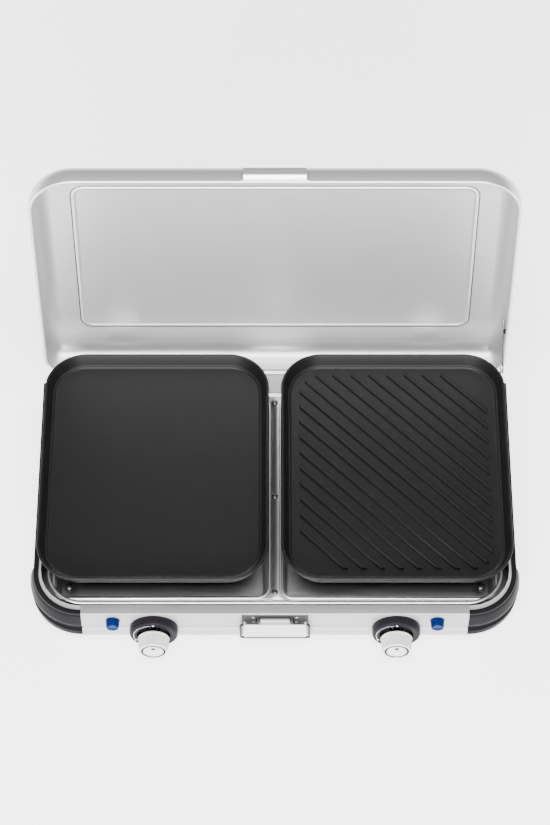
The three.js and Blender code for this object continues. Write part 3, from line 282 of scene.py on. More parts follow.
def wire(name, points, radius):
    """A bent wire through drawing points."""
    curve = bpy.data.curves.new(name, "CURVE")
    curve.dimensions = "3D"
    curve.bevel_depth = radius * MM
    curve.bevel_resolution = 6
    curve.use_fill_caps = True
    spline = curve.splines.new("POLY")
    spline.points.add(len(points) - 1)
    for point, (x, y, z) in zip(spline.points, points):
        point.co = (x * MM, (y + SHIFT) * MM, z * MM, 1)
    spline.use_smooth = True
    obj = bpy.data.objects.new(name, curve)
    bpy.context.scene.collection.objects.link(obj)
    return obj


# ---- finishes ----

def material(name, base, metallic, roughness, *, grain=(60, 60, 60), grain_depth=0.05, rough_swing=0.06,
             tint_swing=0.04, wear=0.0, wear_colour=(0.5, 0.5, 0.5), coat=0.0, speckle=0.0, bump=0.02,
             specular=0.5):
    """A procedural finish: fine grain in bump and roughness, cloudy tint, and worn patches."""
    made = bpy.data.materials.new(name)
    made.use_nodes = True
    nodes, links = made.node_tree.nodes, made.node_tree.links
    shader = nodes["Principled BSDF"]
    shader.inputs["Metallic"].default_value = metallic
    shader.inputs["Specular IOR Level"].default_value = specular
    shader.inputs["Coat Weight"].default_value = coat
    shader.inputs["Coat Roughness"].default_value = 0.18
    place = nodes.new("ShaderNodeTexCoord")

    def noise(scale, stretch=(1, 1, 1), detail=4, rough=0.55):
        mapping = nodes.new("ShaderNodeMapping")
        mapping.inputs["Scale"].default_value = stretch
        texture = nodes.new("ShaderNodeTexNoise")
        texture.inputs["Scale"].default_value = scale
        texture.inputs["Detail"].default_value = detail
        texture.inputs["Roughness"].default_value = rough
        links.new(place.outputs["Object"], mapping.inputs["Vector"])
        links.new(mapping.outputs["Vector"], texture.inputs["Vector"])
        return texture

    def ranged(source, low, high, from_low=0.3, from_high=0.7):
        node = nodes.new("ShaderNodeMapRange")
        node.inputs["From Min"].default_value = from_low
        node.inputs["From Max"].default_value = from_high
        node.inputs["To Min"].default_value = low
        node.inputs["To Max"].default_value = high
        links.new(source, node.inputs["Value"])
        return node.outputs["Result"]

    def blended(factor, first, second):
        node = nodes.new("ShaderNodeMix")
        node.data_type = "RGBA"
        links.new(factor, node.inputs["Factor"])
        for socket, value in ((node.inputs[6], first), (node.inputs[7], second)):
            if isinstance(value, tuple):
                socket.default_value = (*value, 1)
            else:
                links.new(value, socket)
        return node.outputs[2]

    fine = noise(1.0, tuple(g * 10 for g in grain), detail=6)
    cloud = noise(9.0, detail=3)
    dark = tuple(c * (1 - tint_swing) for c in base)
    light = tuple(min(c * (1 + tint_swing), 1.0) for c in base)
    colour = blended(ranged(cloud.outputs["Fac"], 0, 1), dark, light)
    rough = ranged(fine.outputs["Fac"], max(roughness - rough_swing, 0.02), roughness + rough_swing)
    if speckle:
        dots = noise(900.0, detail=2)
        flecks = ranged(dots.outputs["Fac"], 0, speckle, 0.6, 0.72)
        colour = blended(flecks, colour, tuple(min(c * 3 + 0.05, 1) for c in base))
    if wear:
        patches = noise(26.0, detail=8, rough=0.7)
        worn = ranged(patches.outputs["Fac"], 0, wear, 0.58, 0.72)
        colour = blended(worn, colour, wear_colour)
    links.new(colour, shader.inputs["Base Color"])
    links.new(rough, shader.inputs["Roughness"])
    relief = nodes.new("ShaderNodeBump")
    relief.inputs["Strength"].default_value = grain_depth
    relief.inputs["Distance"].default_value = bump * MM
    links.new(fine.outputs["Fac"], relief.inputs["Height"])
    links.new(relief.outputs["Normal"], shader.inputs["Normal"])
    return made


FINISH = {
    "base_paint": material("satin_grey_paint", (0.34, 0.34, 0.335), 0.0, 0.42, grain_depth=0.35, bump=0.15,
                           wear=0.25, wear_colour=(0.42, 0.42, 0.41)),
    "front_paint": material("off_white_paint", (0.325, 0.32, 0.325), 0.0, 0.34, grain_depth=0.22, bump=0.10,
                            tint_swing=0.012, coat=0.25),
    "tray_steel": material("brushed_tray_steel", (0.58, 0.58, 0.58), 1.0, 0.34, grain=(2, 120, 60),
                           grain_depth=0.16, bump=0.06, rough_swing=0.05, tint_swing=0.02),
    "lid_steel": material("satin_lid_steel", (0.64, 0.64, 0.64), 0.80, 0.38, grain=(3, 90, 90),
                          grain_depth=0.10, bump=0.04, rough_swing=0.04, tint_swing=0.015),
    # Near-black finish that paints the shade inside the lid's pressed line.
    "painted_crease_shade": material("painted_shade_pressed_line", (0.07, 0.07, 0.07), 0.6, 0.5, grain_depth=0.1, bump=0.04),
    "fitting_steel": material("fitting_steel", (0.62, 0.62, 0.63), 1.0, 0.32, grain=(40, 8, 40),
                              grain_depth=0.25, bump=0.10, wear=0.2, wear_colour=(0.4, 0.4, 0.4)),
    "wire_steel": material("polished_wire_steel", (0.40, 0.41, 0.42), 1.0, 0.18, grain_depth=0.15,
                           bump=0.05, tint_swing=0.05),
    "black_trim": material("black_trim_plastic", (0.008, 0.008, 0.009), 0.0, 0.42, grain_depth=0.4,
                           bump=0.12, rough_swing=0.08, specular=0.06),
    "bumper_grey": material("violet_grey_plastic", (0.0050, 0.0043, 0.0058), 0.0, 0.34, grain_depth=0.12,
                            bump=0.10, rough_swing=0.05, specular=0.028),
    "bezel_grey": material("bezel_plastic", (0.011, 0.0095, 0.0125), 0.0, 0.40, grain_depth=0.20,
                           bump=0.10, rough_swing=0.05, specular=0.05),
    "latch_bar": material("latch_bar_steel", (0.30, 0.30, 0.305), 0.7, 0.40, grain=(4, 90, 90),
                          grain_depth=0.20, bump=0.06),
    "plate_coat": material("nonstick_coat", (0.0032, 0.0032, 0.0035), 0.0, 0.46, grain=(90, 90, 90),
                           grain_depth=0.45, bump=0.18, rough_swing=0.08, speckle=0.16, specular=0.20),
    "support_enamel": material("black_enamel", (0.014, 0.014, 0.015), 0.0, 0.30, grain_depth=0.5, bump=0.3,
                               coat=0.3, wear=0.3, wear_colour=(0.06, 0.055, 0.05)),
    "burner_alloy": material("cast_burner_alloy", (0.42, 0.42, 0.43), 1.0, 0.52, grain_depth=0.9, bump=0.5,
                             wear=0.4, wear_colour=(0.2, 0.18, 0.16)),
    "brass": material("turned_brass", (0.66, 0.46, 0.17), 1.0, 0.30, grain=(10, 120, 10), grain_depth=0.3,
                      bump=0.1, wear=0.25, wear_colour=(0.30, 0.21, 0.10)),
    "knob_white": material("knob_plastic", (0.62, 0.62, 0.61), 0.0, 0.36, grain_depth=0.3, bump=0.10,
                           tint_swing=0.015),
    "button_blue": material("blue_plastic", (0.0006, 0.009, 0.070), 0.0, 0.28, grain_depth=0.2, bump=0.06,
                            specular=0.06),
    "latch_white": material("latch_paint", (0.56, 0.56, 0.56), 0.0, 0.34, grain_depth=0.3, bump=0.08,
                            tint_swing=0.02, coat=0.2),
    "ceramic": material("white_ceramic", (0.80, 0.79, 0.75), 0.0, 0.25, grain_depth=0.2, bump=0.08,
                        wear=0.25, wear_colour=(0.5, 0.45, 0.38)),
    "lead_rubber": material("lead_rubber", (0.015, 0.015, 0.015), 0.0, 0.6, grain_depth=0.4, bump=0.15),
    "foot_rubber": material("foot_rubber", (0.016, 0.016, 0.016), 0.0, 0.68, grain_depth=0.7, bump=0.3,
                            wear=0.4, wear_colour=(0.05, 0.05, 0.05)),
    "screw_steel": material("blackened_screw", (0.09, 0.09, 0.09), 1.0, 0.34, grain_depth=0.3, bump=0.1,
                            wear=0.5, wear_colour=(0.16, 0.16, 0.16)),
    "bracket_steel": material("textured_bracket", (0.050, 0.050, 0.053), 0.6, 0.46, grain=(90, 90, 90),
                              grain_depth=0.9, bump=0.5, rough_swing=0.12, speckle=0.5),
    "bail_steel": material("bail_steel", (0.035, 0.035, 0.038), 1.0, 0.34, grain_depth=0.15, bump=0.05,
                           tint_swing=0.08),
    "mark_white": material("mark_white", (0.82, 0.82, 0.82), 0.0, 0.45, grain_depth=0.2, bump=0.03),
    "mark_dark": material("mark_dark", (0.004, 0.004, 0.004), 0.0, 0.5, grain_depth=0.2, bump=0.03,
                          specular=0.05),
}


def dress(obj, slot_name, finish=None):
    """Gives a piece its finish: the one named, or else the finish of its slot in the record."""
    obj.data.materials.clear()
    obj.data.materials.append(FINISH[finish or slot_name])


def second_finish(obj, finish, chosen):
    """Puts another finish on the chosen faces of a piece."""
    obj.data.materials.append(FINISH[finish])
    for polygon in obj.data.polygons:
        if chosen(polygon):
            polygon.material_index = 1


def place(obj, slot_name, body, *nodes, finish=None):
    """A finished piece of one body, standing for these CAD nodes."""
    dress(obj, slot_name, finish)
    if nodes:
        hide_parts(*nodes)
    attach(obj, body)


# ---- lid ----

LID_PLAN = (-300, 300, -182, 184, 57, 24)
LID_RIM, LID_TOP, LID_FILLET, LID_HEM = 70, 106, 24, 4.6
GROOVE_PLAN = (-251.5, 251.5, -136.5, 135, 18, 18)
GROOVE_DEPTH, CREASE_CUT = 1.0, 0.85
HINGE_ARM_X, NOTCH_HALF = 200, 18  # notches in the rear hem for the hinge arms


def fillet_arc(wall, steps=14):
    """The quarter turn from the lid's side to its top, at a depth of wall into the sheet."""
    radius = LID_FILLET - wall
    return [
        (LID_FILLET - radius * math.cos(i / steps * math.pi / 2),
         LID_TOP - LID_FILLET + radius * math.sin(i / steps * math.pi / 2))
        for i in range(steps + 1)
    ]


def groove_outside(z):
    """The pressed line round the lid's flat top, as rows on its own plan."""
    line = [(-3, z), (3, z), (3.9, z - GROOVE_DEPTH), (5.4, z - GROOVE_DEPTH), (6.3, z), (9, z)]
    return [(inset, height, GROOVE_PLAN) for inset, height in softened(line, 0.5, 2, closed=False)]


def groove_inside(z):
    """The same line from inside: a sharp crease with a soft ridge beside it."""
    crease = [(-3, z), (0, z), (0.1, z + CREASE_CUT), (1.4, z + CREASE_CUT), (1.5, z)]
    ridge = softened([(2.4, z), (3.6, z - 0.7), (5.6, z - 0.7), (6.8, z), (9, z)], 0.6, 3, closed=False)
    return [(inset, height, GROOVE_PLAN) for inset, height in crease + ridge]


def lid():
    """The pressed lid with its rolled hem, its line round the top and a notch for each hinge arm."""
    outside = [(0, LID_RIM + 1.2)] + fillet_arc(0) + groove_outside(LID_TOP)
    inside = [(SHEET, LID_RIM + SHEET + 0.8)] + fillet_arc(SHEET) + groove_inside(LID_TOP - SHEET)
    hem = [(0.35, LID_RIM + 0.35), (1.2, LID_RIM), (LID_HEM - 0.9, LID_RIM), (LID_HEM - 0.2, LID_RIM + 0.25),
           (LID_HEM, LID_RIM + 0.7), (LID_HEM - 0.3, LID_RIM + 1.15), (LID_HEM - 1, LID_RIM + SHEET),
           (SHEET + 0.8, LID_RIM + SHEET)]
    shell = mesh_object("lid_pressing", opened(carried(LID_PLAN, outside[::-1] + hem + inside)), sharp=50)
    notches = []
    for _, side in SIDES:
        x = side * HINGE_ARM_X
        notches.append(opened(slab(x - NOTCH_HALF, x + NOTCH_HALF, 178.4, 182.79, 69, 71.7)))
    combine(shell, "DIFFERENCE", *notches, sharp=50)
    place(shell, "lid_steel", "lid", "lid_shell")
    back = Matrix.Rotation(LID_OPENING, 3, "X")
    hinge = Vector((0, (HINGE_Y + SHIFT) * MM, HINGE_Z * MM))

    # Faces inside the pressed line get the near-black finish: painted shade in the crease.
    def in_shaded_crease(polygon):
        height = (back @ (polygon.center - hinge)).z / MM + HINGE_Z
        return LID_TOP - SHEET + 0.1 < height < LID_TOP - 0.1 and (back @ polygon.normal).z < 0.2

    second_finish(shell, "painted_crease_shade", in_shaded_crease)


def lid_catch():
    """The catch on the lid's front wall that the bail hooks over, with its two rivets."""
    wall, face, rim = -182.3, -190.0, LID_RIM
    base = [(wall, rim + 0.4), (wall, rim + 11), (wall - SHEET, rim + 11), (wall - SHEET, rim + 0.4)]
    hook = [(wall - 0.4, rim + 0.4), (face, rim + 4), (face, rim + 15.7), (face + 1.1, rim + 15.7),
            (face + 1.1, rim + 13.2), (face + 5, rim + 13.2), (face + 5, rim + 12),
            (face + SHEET, rim + 12), (face + SHEET, rim + 4.8), (wall - 0.4, rim + 1.8)]
    shape = merged(
        along_x(softened(base, 0.5, 2), -42, 42),
        along_x(softened(hook, 1.2, 3), -38, 38),
    )
    catch = bevelled(mesh_object("lid_catch_plate", opened(shape)), 0.35)
    place(catch, "fitting_steel", "lid", "lid_catch", finish="lid_steel")
    rivets = []
    for side in (-1, 1):
        profile = [(NEEDLE, 0.9), (1.0, 0.85), (1.8, 0.4), (2.0, -0.2)]
        rivets.append(turned(profile[::-1], (side * 31, wall - SHEET, rim + 8.6), 20, forward=True))
    studs = mesh_object("lid_catch_rivets", opened(merged(*rivets)))
    place(studs, "fitting_steel", "lid")


# ---- cooking plates ----

PLATE_PLAN = (7.3, 293, -156, 177, 52, 52)
PLATE_BOTTOM, PLATE_TOP = 70.3, 94.5
SURFACE, SURFACE_INSET = PLATE_TOP - 16.5, 15.5  # cooking surface
RIB_COUNT, RIB_PITCH, RIB_WIDTH, RIB_HEIGHT, RIB_MARGIN = 19, 16.2, 4.6, 2.8, 8


def plate_dish():
    """A cast plate's rim, wall and cooking surface, without ribs."""
    under = [(19, PLATE_BOTTOM + 3.7), (17, PLATE_BOTTOM), (11, PLATE_BOTTOM), (8, PLATE_BOTTOM + 3)]
    wall = [(0.6, PLATE_TOP - 2.6), (0.3, PLATE_TOP - 1.2), (1.4, PLATE_TOP), (3.2, PLATE_TOP),
            (4.3, PLATE_TOP - 1.6)]
    ledge = [(9.2, 82.0), (9.9, 80.5), (11.6, 80.1), (12.8, SURFACE + 0.4), (14.6, SURFACE), (20, SURFACE)]
    profile = softened(under + wall, 1.4, 4, closed=False)[:-1]
    profile += softened(wall[-1:] + ledge, 0.7, 3, closed=False)
    return carried(PLATE_PLAN, profile)


def line_in_outline(points, origin, along):
    """Where a line crosses a convex outline, as its two distances from the origin."""
    across = Vector((-along.y, along.x))
    hits = []
    for i, here in enumerate(points):
        here, after = Vector(here) - origin, Vector(points[(i + 1) % len(points)]) - origin
        a, b = here.dot(across), after.dot(across)
        if (a < 0) != (b < 0):
            share = a / (a - b)
            hits.append(here.lerp(after, share).dot(along))
    return (min(hits), max(hits)) if len(hits) == 2 else None


def ribs():
    """Raised bars across the ribbed plate, their ends cut along the plate's sides."""
    middle = Vector(((PLATE_PLAN[0] + PLATE_PLAN[1]) / 2, (PLATE_PLAN[2] + PLATE_PLAN[3]) / 2))
    along = Vector((math.cos(math.radians(-45)), math.sin(math.radians(-45))))
    across = Vector((-along.y, along.x))
    half = RIB_WIDTH / 2
    section = softened([(-half, -0.6), (-half, 0.2), (-half + 0.6, RIB_HEIGHT), (half - 0.6, RIB_HEIGHT),
                        (half, 0.2), (half, -0.6)], 0.9, 4, closed=False)
    bars = []
    for i in range(RIB_COUNT):
        offset = (i - (RIB_COUNT - 1) / 2) * RIB_PITCH
        rows = [[], []]
        for u, height in section:
            field = outline(PLATE_PLAN, SURFACE_INSET + RIB_MARGIN + max(height, 0) * 0.35)
            span = line_in_outline(field, middle + across * (offset + u), along)
            if span is None:
                break
            for row, distance in zip(rows, span):
                point = middle + across * (offset + u) + along * distance
                row.append((point.x, point.y, SURFACE + height))
        if span is not None:
            bars.append(skinned(rows))
    return merged(*bars)


def plates():
    griddle = mesh_object("griddle_casting", mirrored(plate_dish()), sharp=60)
    place(griddle, "plate_coat", "plate_left", "griddle_plate_left")
    grill = mesh_object("grill_casting", merged(plate_dish(), ribs()), sharp=60)
    place(grill, "plate_coat", "plate_right", "grill_plate_right")


# ---- tray ----

TRAY_PLAN = (-279.5, 279.5, -175, 133, 44, 12)
WELL_PLAN = (9, 268, -164, 125, 14, 14)
BEAD_TOP, DECK, WELL_FLOOR = 69.6, 67.5, 48.0
BURNER_X, BURNER_Y = 148.5, -19.5
ELECTRODE_REACH = 46  # from the burner's middle
SCREWS = {"rear": (0, 119), "middle": (0, -21), "front": (0, -158),
          "front_left": (-252, -151), "front_right": (252, -151)}


def tray():
    """The pressed cooktop: a beaded edge and a ridged well round each burner."""
    under = DECK - SHEET
    bead = [(5.5, under), (4.5, BEAD_TOP - SHEET), (SHEET, BEAD_TOP - SHEET), (SHEET, under - 2),
            (0, under - 2), (0, BEAD_TOP - 1), (1, BEAD_TOP), (3.4, BEAD_TOP), (5.5, DECK), (8.5, DECK)]
    deck = carried(TRAY_PLAN, softened(bead, 0.9, 3, closed=False))
    ridge_line = [(-4.5, DECK - 0.4), (-3.6, DECK + 0.7), (-2.3, DECK + 1.1), (-1.0, DECK + 0.7),
                  (-0.2, DECK - 0.4)]
    ridge = carried(WELL_PLAN, ridge_line, ring=True)
    outer = carried(WELL_PLAN, [(2.8, WELL_FLOOR - SHEET), (-SHEET, under), (-SHEET, DECK - 0.2)])
    inner_line = softened([(10, WELL_FLOOR), (4, WELL_FLOOR), (0, DECK), (0, DECK + 5)], 3, 4, closed=False)
    inner = carried(WELL_PLAN, inner_line)
    piece = mesh_object("tray_pressing", deck)
    combine(piece, "UNION", outer, mirrored(outer), ridge, mirrored(ridge))
    centre = (BURNER_X, BURNER_Y)
    low, high = WELL_FLOOR - 5, WELL_FLOOR + 5
    neck = rod((*centre, low), (*centre, high), 19, 48)
    spark_at = (BURNER_X + ELECTRODE_REACH, BURNER_Y)
    spark = rod((*spark_at, low), (*spark_at, high), 3.5)
    cuts = [inner, neck, spark]
    combine(piece, "DIFFERENCE", *cuts, *[mirrored(c) for c in cuts], sharp=38)
    place(piece, "tray_steel", "base", "cooktop_tray")


def screws():
    """Domed heads with a cross recess, the two at the corners on dark washers."""
    head = [(1.6, DECK - 8), (1.6, DECK + 0.3), (3.7, DECK + 0.3), (3.75, DECK + 0.7), (3.3, DECK + 1.3),
            (2.3, DECK + 1.75), (1.0, DECK + 1.95), (NEEDLE, DECK + 2.0)]
    ring = [(3.6, DECK + 0.1), (5.6, DECK + 0.1), (5.7, DECK + 0.35), (5.3, DECK + 0.5), (3.6, DECK + 0.5)]
    for name, (x, y) in SCREWS.items():
        piece = mesh_object("screw_" + name, turned(head, (x, y, 0), 32))
        slots = [
            slab(x - a, x + a, y - b, y + b, DECK + 1.1, DECK + 3)
            for a, b in ((2.2, 0.35), (0.35, 2.2))
        ]
        combine(piece, "DIFFERENCE", *slots)
        place(piece, "wire_steel", "base", "tray_screw_" + name, finish="screw_steel")
        if x == 0:
            continue
        washer = mesh_object(piece.name + "_washer", turned(ring, (x, y, 0), 32))
        place(washer, "black_trim", "base")


# ---- front panel, corner bumpers and edge trim ----

PANEL_HALF = 236.7
PANEL_TOP, PANEL_BOTTOM = 69.5, 14
LEDGE = 13.6  # top ledge, back to the tray's bead
CREASE = (41, 31, 27, 3)  # upper edge, floor, lower edge, depth
KNOB_X, KNOB_Z, SPINDLE_HOLE = 148.5, 37.0, 8.5
BUTTON_X, BUTTON_Z, BUTTON_HOLE = 198.3, 53.5, 8.9
BUMPER_TOP, TRIM_TOP = 66.2, 69.7
BUMPER_CORNER = (238, -126, 64)  # centre x and y, radius
CORNER_REAR = -122  # where the bumper's side ends
TRIM_SIDE, TRIM_REAR = 297, 148


def front_panel():
    """The painted front with its pressed crease, bored for the spindles and the buttons."""
    front = PANEL_FRONT
    top, floor, bottom, depth = CREASE
    face = [(front + LEDGE, PANEL_TOP), (front + 0.2, PANEL_TOP), (front, PANEL_TOP - 2), (front, top + 4),
            (front - 0.6, top + 1.6), (front - 0.4, top - 0.6), (front + depth, floor + 5.5),
            (front + depth + 0.4, floor + 1), (front - 0.1, bottom + 1.4), (front + 0.5, bottom - 0.8),
            (front + 0.8, PANEL_BOTTOM + 1.6), (front + 2.4, PANEL_BOTTOM), (front + 7, PANEL_BOTTOM)]
    back = [(front + 7, PANEL_BOTTOM + SHEET), (front + 2.4, PANEL_BOTTOM + SHEET),
            (front + 0.5 + SHEET, bottom - 0.8), (front + depth + 0.4 + SHEET, floor + 0.5),
            (front + depth + 0.4 + SHEET, floor + 6.5), (front + SHEET, top + 1.5),
            (front + SHEET, PANEL_TOP - SHEET), (front + LEDGE, PANEL_TOP - SHEET)]
    profile = softened(face, 1.0, 4, closed=False) + back
    panel = mesh_object("panel_pressing", along_x(profile, -PANEL_HALF, PANEL_HALF))
    holes = []
    for _, side in SIDES:
        for x, z, radius in ((KNOB_X, KNOB_Z, SPINDLE_HOLE), (BUTTON_X, BUTTON_Z, BUTTON_HOLE)):
            holes.append(rod((side * x, front - 5, z), (side * x, front + 6, z), radius, 48))
    combine(panel, "DIFFERENCE", *holes)
    place(bevelled(panel, 0.25), "front_paint", "base", "front_panel")

    def on_ledge(polygon):
        return polygon.normal.z > 0.9 and polygon.center.z > (PANEL_TOP - 0.5) * MM

    second_finish(panel, "tray_steel", on_ledge)


def corner_path(centre_x, centre_y, radius, tail, steps=30):
    """From the front seam round the right corner: x, y, outward x, outward y, sideways share."""
    path = [(PANEL_HALF + 0.3, centre_y - radius, 0, -1, 0)]
    for i in range(steps + 1):
        angle = (i / steps - 1) * math.pi / 2
        path.append((centre_x + radius * math.cos(angle), centre_y + radius * math.sin(angle),
                     math.cos(angle), math.sin(angle), math.cos(angle)))
    path.append((centre_x + radius, tail, 1, 0, 1))
    return path


def swept(path, profile):
    """A profile of (outward, height, extra outward towards the side) carried along a corner path."""
    rows = []
    for x, y, nx, ny, sideways in path:
        row = []
        for out, z, lean in profile:
            reach = out + lean * sideways
            row.append((x + nx * reach, y + ny * reach, z))
        rows.append(row)
    return skinned(rows)


def bumpers():
    """The plastic corners that carry the panel's crease round to the sides."""
    top, floor, bottom, depth = CREASE
    profile = [(-depth - 3, BUMPER_TOP, -1.4), (-1.6, BUMPER_TOP, -5), (0, BUMPER_TOP - 2.4, -4.4),
               (0, 58, -2), (0, top + 4, 0.6), (0, top, 0.6), (-depth, floor, 0.4), (-0.5, bottom, 0.4),
               (-0.8, PANEL_BOTTOM + 3, -0.4), (-2.6, PANEL_BOTTOM, -0.4), (-depth - 3, PANEL_BOTTOM, 0)]
    shape = swept(corner_path(*BUMPER_CORNER, CORNER_REAR), softened(profile, 1.8, 4))
    for name, side in SIDES:
        piece = mesh_object("corner_bumper_" + name, shape if side > 0 else mirrored(shape))
        place(bevelled(piece, 0.4), "bumper_grey", "base", "front_bumper_" + name)


def edge_trims():
    """The black band along the top edge, from the panel round to each side."""
    radius = TRIM_SIDE - PANEL_HALF - 0.6
    low = BUMPER_TOP + 0.3
    profile = [(-6.5, TRIM_TOP - 1.2, 0), (-6.5, TRIM_TOP, 0), (-0.8, TRIM_TOP, 0), (0, TRIM_TOP - 0.8, 0),
               (0, low, 0), (-2.2, low, 0), (-2.2, TRIM_TOP - 1.2, 0)]
    path = corner_path(TRIM_SIDE - radius, PANEL_FRONT + radius, radius, TRIM_REAR)
    shape = swept(path, softened(profile, 0.5, 3))
    for name, side in SIDES:
        piece = mesh_object("edge_band_" + name, shape if side > 0 else mirrored(shape))
        place(bevelled(piece, 0.2), "black_trim", "base", "edge_trim_" + name)


# ---- knobs, bezels and buttons ----

KNOB_BACK, KNOB_LENGTH, KNOB_RADIUS = -196.0, 28.0, 19.4
HUB_LENGTH, HUB_RADIUS = 9.0, 7.5
BEZEL_DEPTH, BEZEL_FLOOR = 12.0, 2.0
GRIPS, GRIP_DEPTH = 44, 1.5


def grip_wave(angle, radius, height):
    """Fine ribs on the knob's side, fading out at both ends."""
    if radius < 16.5 or height < HUB_LENGTH + 2.6 or height > KNOB_LENGTH - 2.2:
        return 0.0
    return -GRIP_DEPTH * (0.5 + 0.5 * math.cos(angle * GRIPS)) ** 2


def knobs():
    """Ribbed white grips on dark hubs, with a dark ring painted as the shade of the face's ring groove, and
    a pointer dot on the face.
    """
    side_profile = [(NEEDLE, 0), (HUB_RADIUS, 0), (HUB_RADIUS, HUB_LENGTH + 0.4),
                    (KNOB_RADIUS - 2.2, HUB_LENGTH + 0.05), (KNOB_RADIUS - 0.9, HUB_LENGTH + 0.3),
                    (KNOB_RADIUS - 0.2, HUB_LENGTH + 1.0), (KNOB_RADIUS, HUB_LENGTH + 2.0),
                    (KNOB_RADIUS - 0.3, HUB_LENGTH + 2.7)]
    steps = 10
    for i in range(steps + 1):
        share = i / steps
        side_profile.append((KNOB_RADIUS - 0.35 - 1.5 * share,
                             HUB_LENGTH + 3.1 + (KNOB_LENGTH - HUB_LENGTH - 5.6) * share))
    side_profile += [(17.3, KNOB_LENGTH - 1.9), (17.0, KNOB_LENGTH - 0.9), (16.4, KNOB_LENGTH - 0.3),
                     (15.4, KNOB_LENGTH), (NEEDLE, KNOB_LENGTH)]
    face = KNOB_BACK - KNOB_LENGTH
    ring = [(12.5, -0.2), (12.5, 0.06), (15.0, 0.06), (15.0, -0.2)]
    dot = [(NEEDLE, -0.2), (2.6, -0.2), (2.6, 0.05), (2.3, 0.1), (NEEDLE, 0.1)]

    def on_hub(polygon):
        return polygon.center.y / MM - SHIFT > KNOB_BACK - HUB_LENGTH + 0.2

    for name, side in SIDES:
        centre = (side * KNOB_X, KNOB_BACK, KNOB_Z)
        cap = mesh_object("knob_cap_" + name, turned(side_profile, centre, GRIPS * 6, True, grip_wave))
        place(cap, "knob_white", "knob_" + name, "knob_" + name)
        second_finish(cap, "black_trim", on_hub)
        # A thin dark ring on the flat face: painted shade where the face has a ring groove.
        line = mesh_object("knob_groove_shade_" + name,
                           turned(ring + ring[:1], (centre[0], face, KNOB_Z), 72, True))
        place(line, "knob_white", "knob_" + name, finish="mark_dark")
        spot = mesh_object("knob_pointer_" + name, turned(dot, (centre[0], face, KNOB_Z + 6.5), 24, True))
        place(spot, "knob_white", "knob_" + name, finish="mark_dark")


def bezels():
    """Dished rings behind the knobs, each printed with two dots and a widening arc."""
    outer, bore, depth = 29.5, 20.2, BEZEL_DEPTH
    profile = [(SPINDLE_HOLE, 0.3), (outer, 0.3), (outer, depth - 2.6), (outer - 0.7, depth - 0.9),
               (outer - 2.2, depth), (bore + 1.2, depth), (bore, depth - 1), (bore, BEZEL_FLOOR),
               (SPINDLE_HOLE, BEZEL_FLOOR)]
    profile = softened(profile, 0.8, 3)
    marks_radius, marks_face = 24.6, PANEL_FRONT - depth
    start, end = math.radians(90), math.radians(205)
    gap = math.radians(8)  # between each dot and the arc
    for name, side in SIDES:
        x = side * KNOB_X
        ring = mesh_object("knob_bezel_ring_" + name,
                           turned(profile + profile[:1], (x, PANEL_FRONT, KNOB_Z), 96, True))
        place(ring, "bumper_grey", "base", "knob_bezel_" + name, finish="bezel_grey")
        marks = []
        dot = [(NEEDLE, 0), (1.25, 0), (1.25, 0.1), (1.0, 0.16), (NEEDLE, 0.16)]
        for angle in (start, end):
            at = (x + marks_radius * math.cos(angle), marks_face, KNOB_Z + marks_radius * math.sin(angle))
            marks.append(turned(dot, at, 20, True))
        rows = []
        steps = 40
        for i in range(steps + 1):
            share = i / steps
            angle = start + gap + (end - start - 2 * gap) * share
            half = 0.12 + 0.16 * share
            row = []
            for radius, lift in ((-half, 0), (half, 0), (half, 0.1), (-half, 0.1)):
                r = marks_radius + radius
                row.append((x + r * math.cos(angle), marks_face - lift, KNOB_Z + r * math.sin(angle)))
            rows.append(row)
        marks.append(skinned(rows))
        print_piece = mesh_object("knob_marks_" + name, merged(*marks))
        place(print_piece, "bumper_grey", "base", finish="mark_white")


def buttons():
    """Blue igniter buttons with a dished face."""
    profile = [(NEEDLE, -7), (4, -7), (4, 0), (8.4, 0), (8.4, 0.6), (7.9, 8.6), (7.6, 9.7), (6.9, 10.4),
               (6.2, 10.55), (5.4, 10.35), (3.0, 10.05), (NEEDLE, 9.95)]
    for name, side in SIDES:
        cap = mesh_object("button_cap_" + name,
                          turned(profile, (side * BUTTON_X, PANEL_FRONT, BUTTON_Z), 64, True))
        place(cap, "button_blue", "igniter_button_" + name, "igniter_button_" + name)


# ---- latch ----

AXIS_Y, AXIS_Z = -195.5, 63.0  # the lever's pin
BAIL_Y, BAIL_Z, BAIL_LENGTH, BAIL_HALF, BAIL_RADIUS = -197.5, 56.0, 30.84, 41.9, 1.5
PLATE_Y, KNUCKLE_HALF = -199.5, 18.6  # front of the lever, and half its knuckle


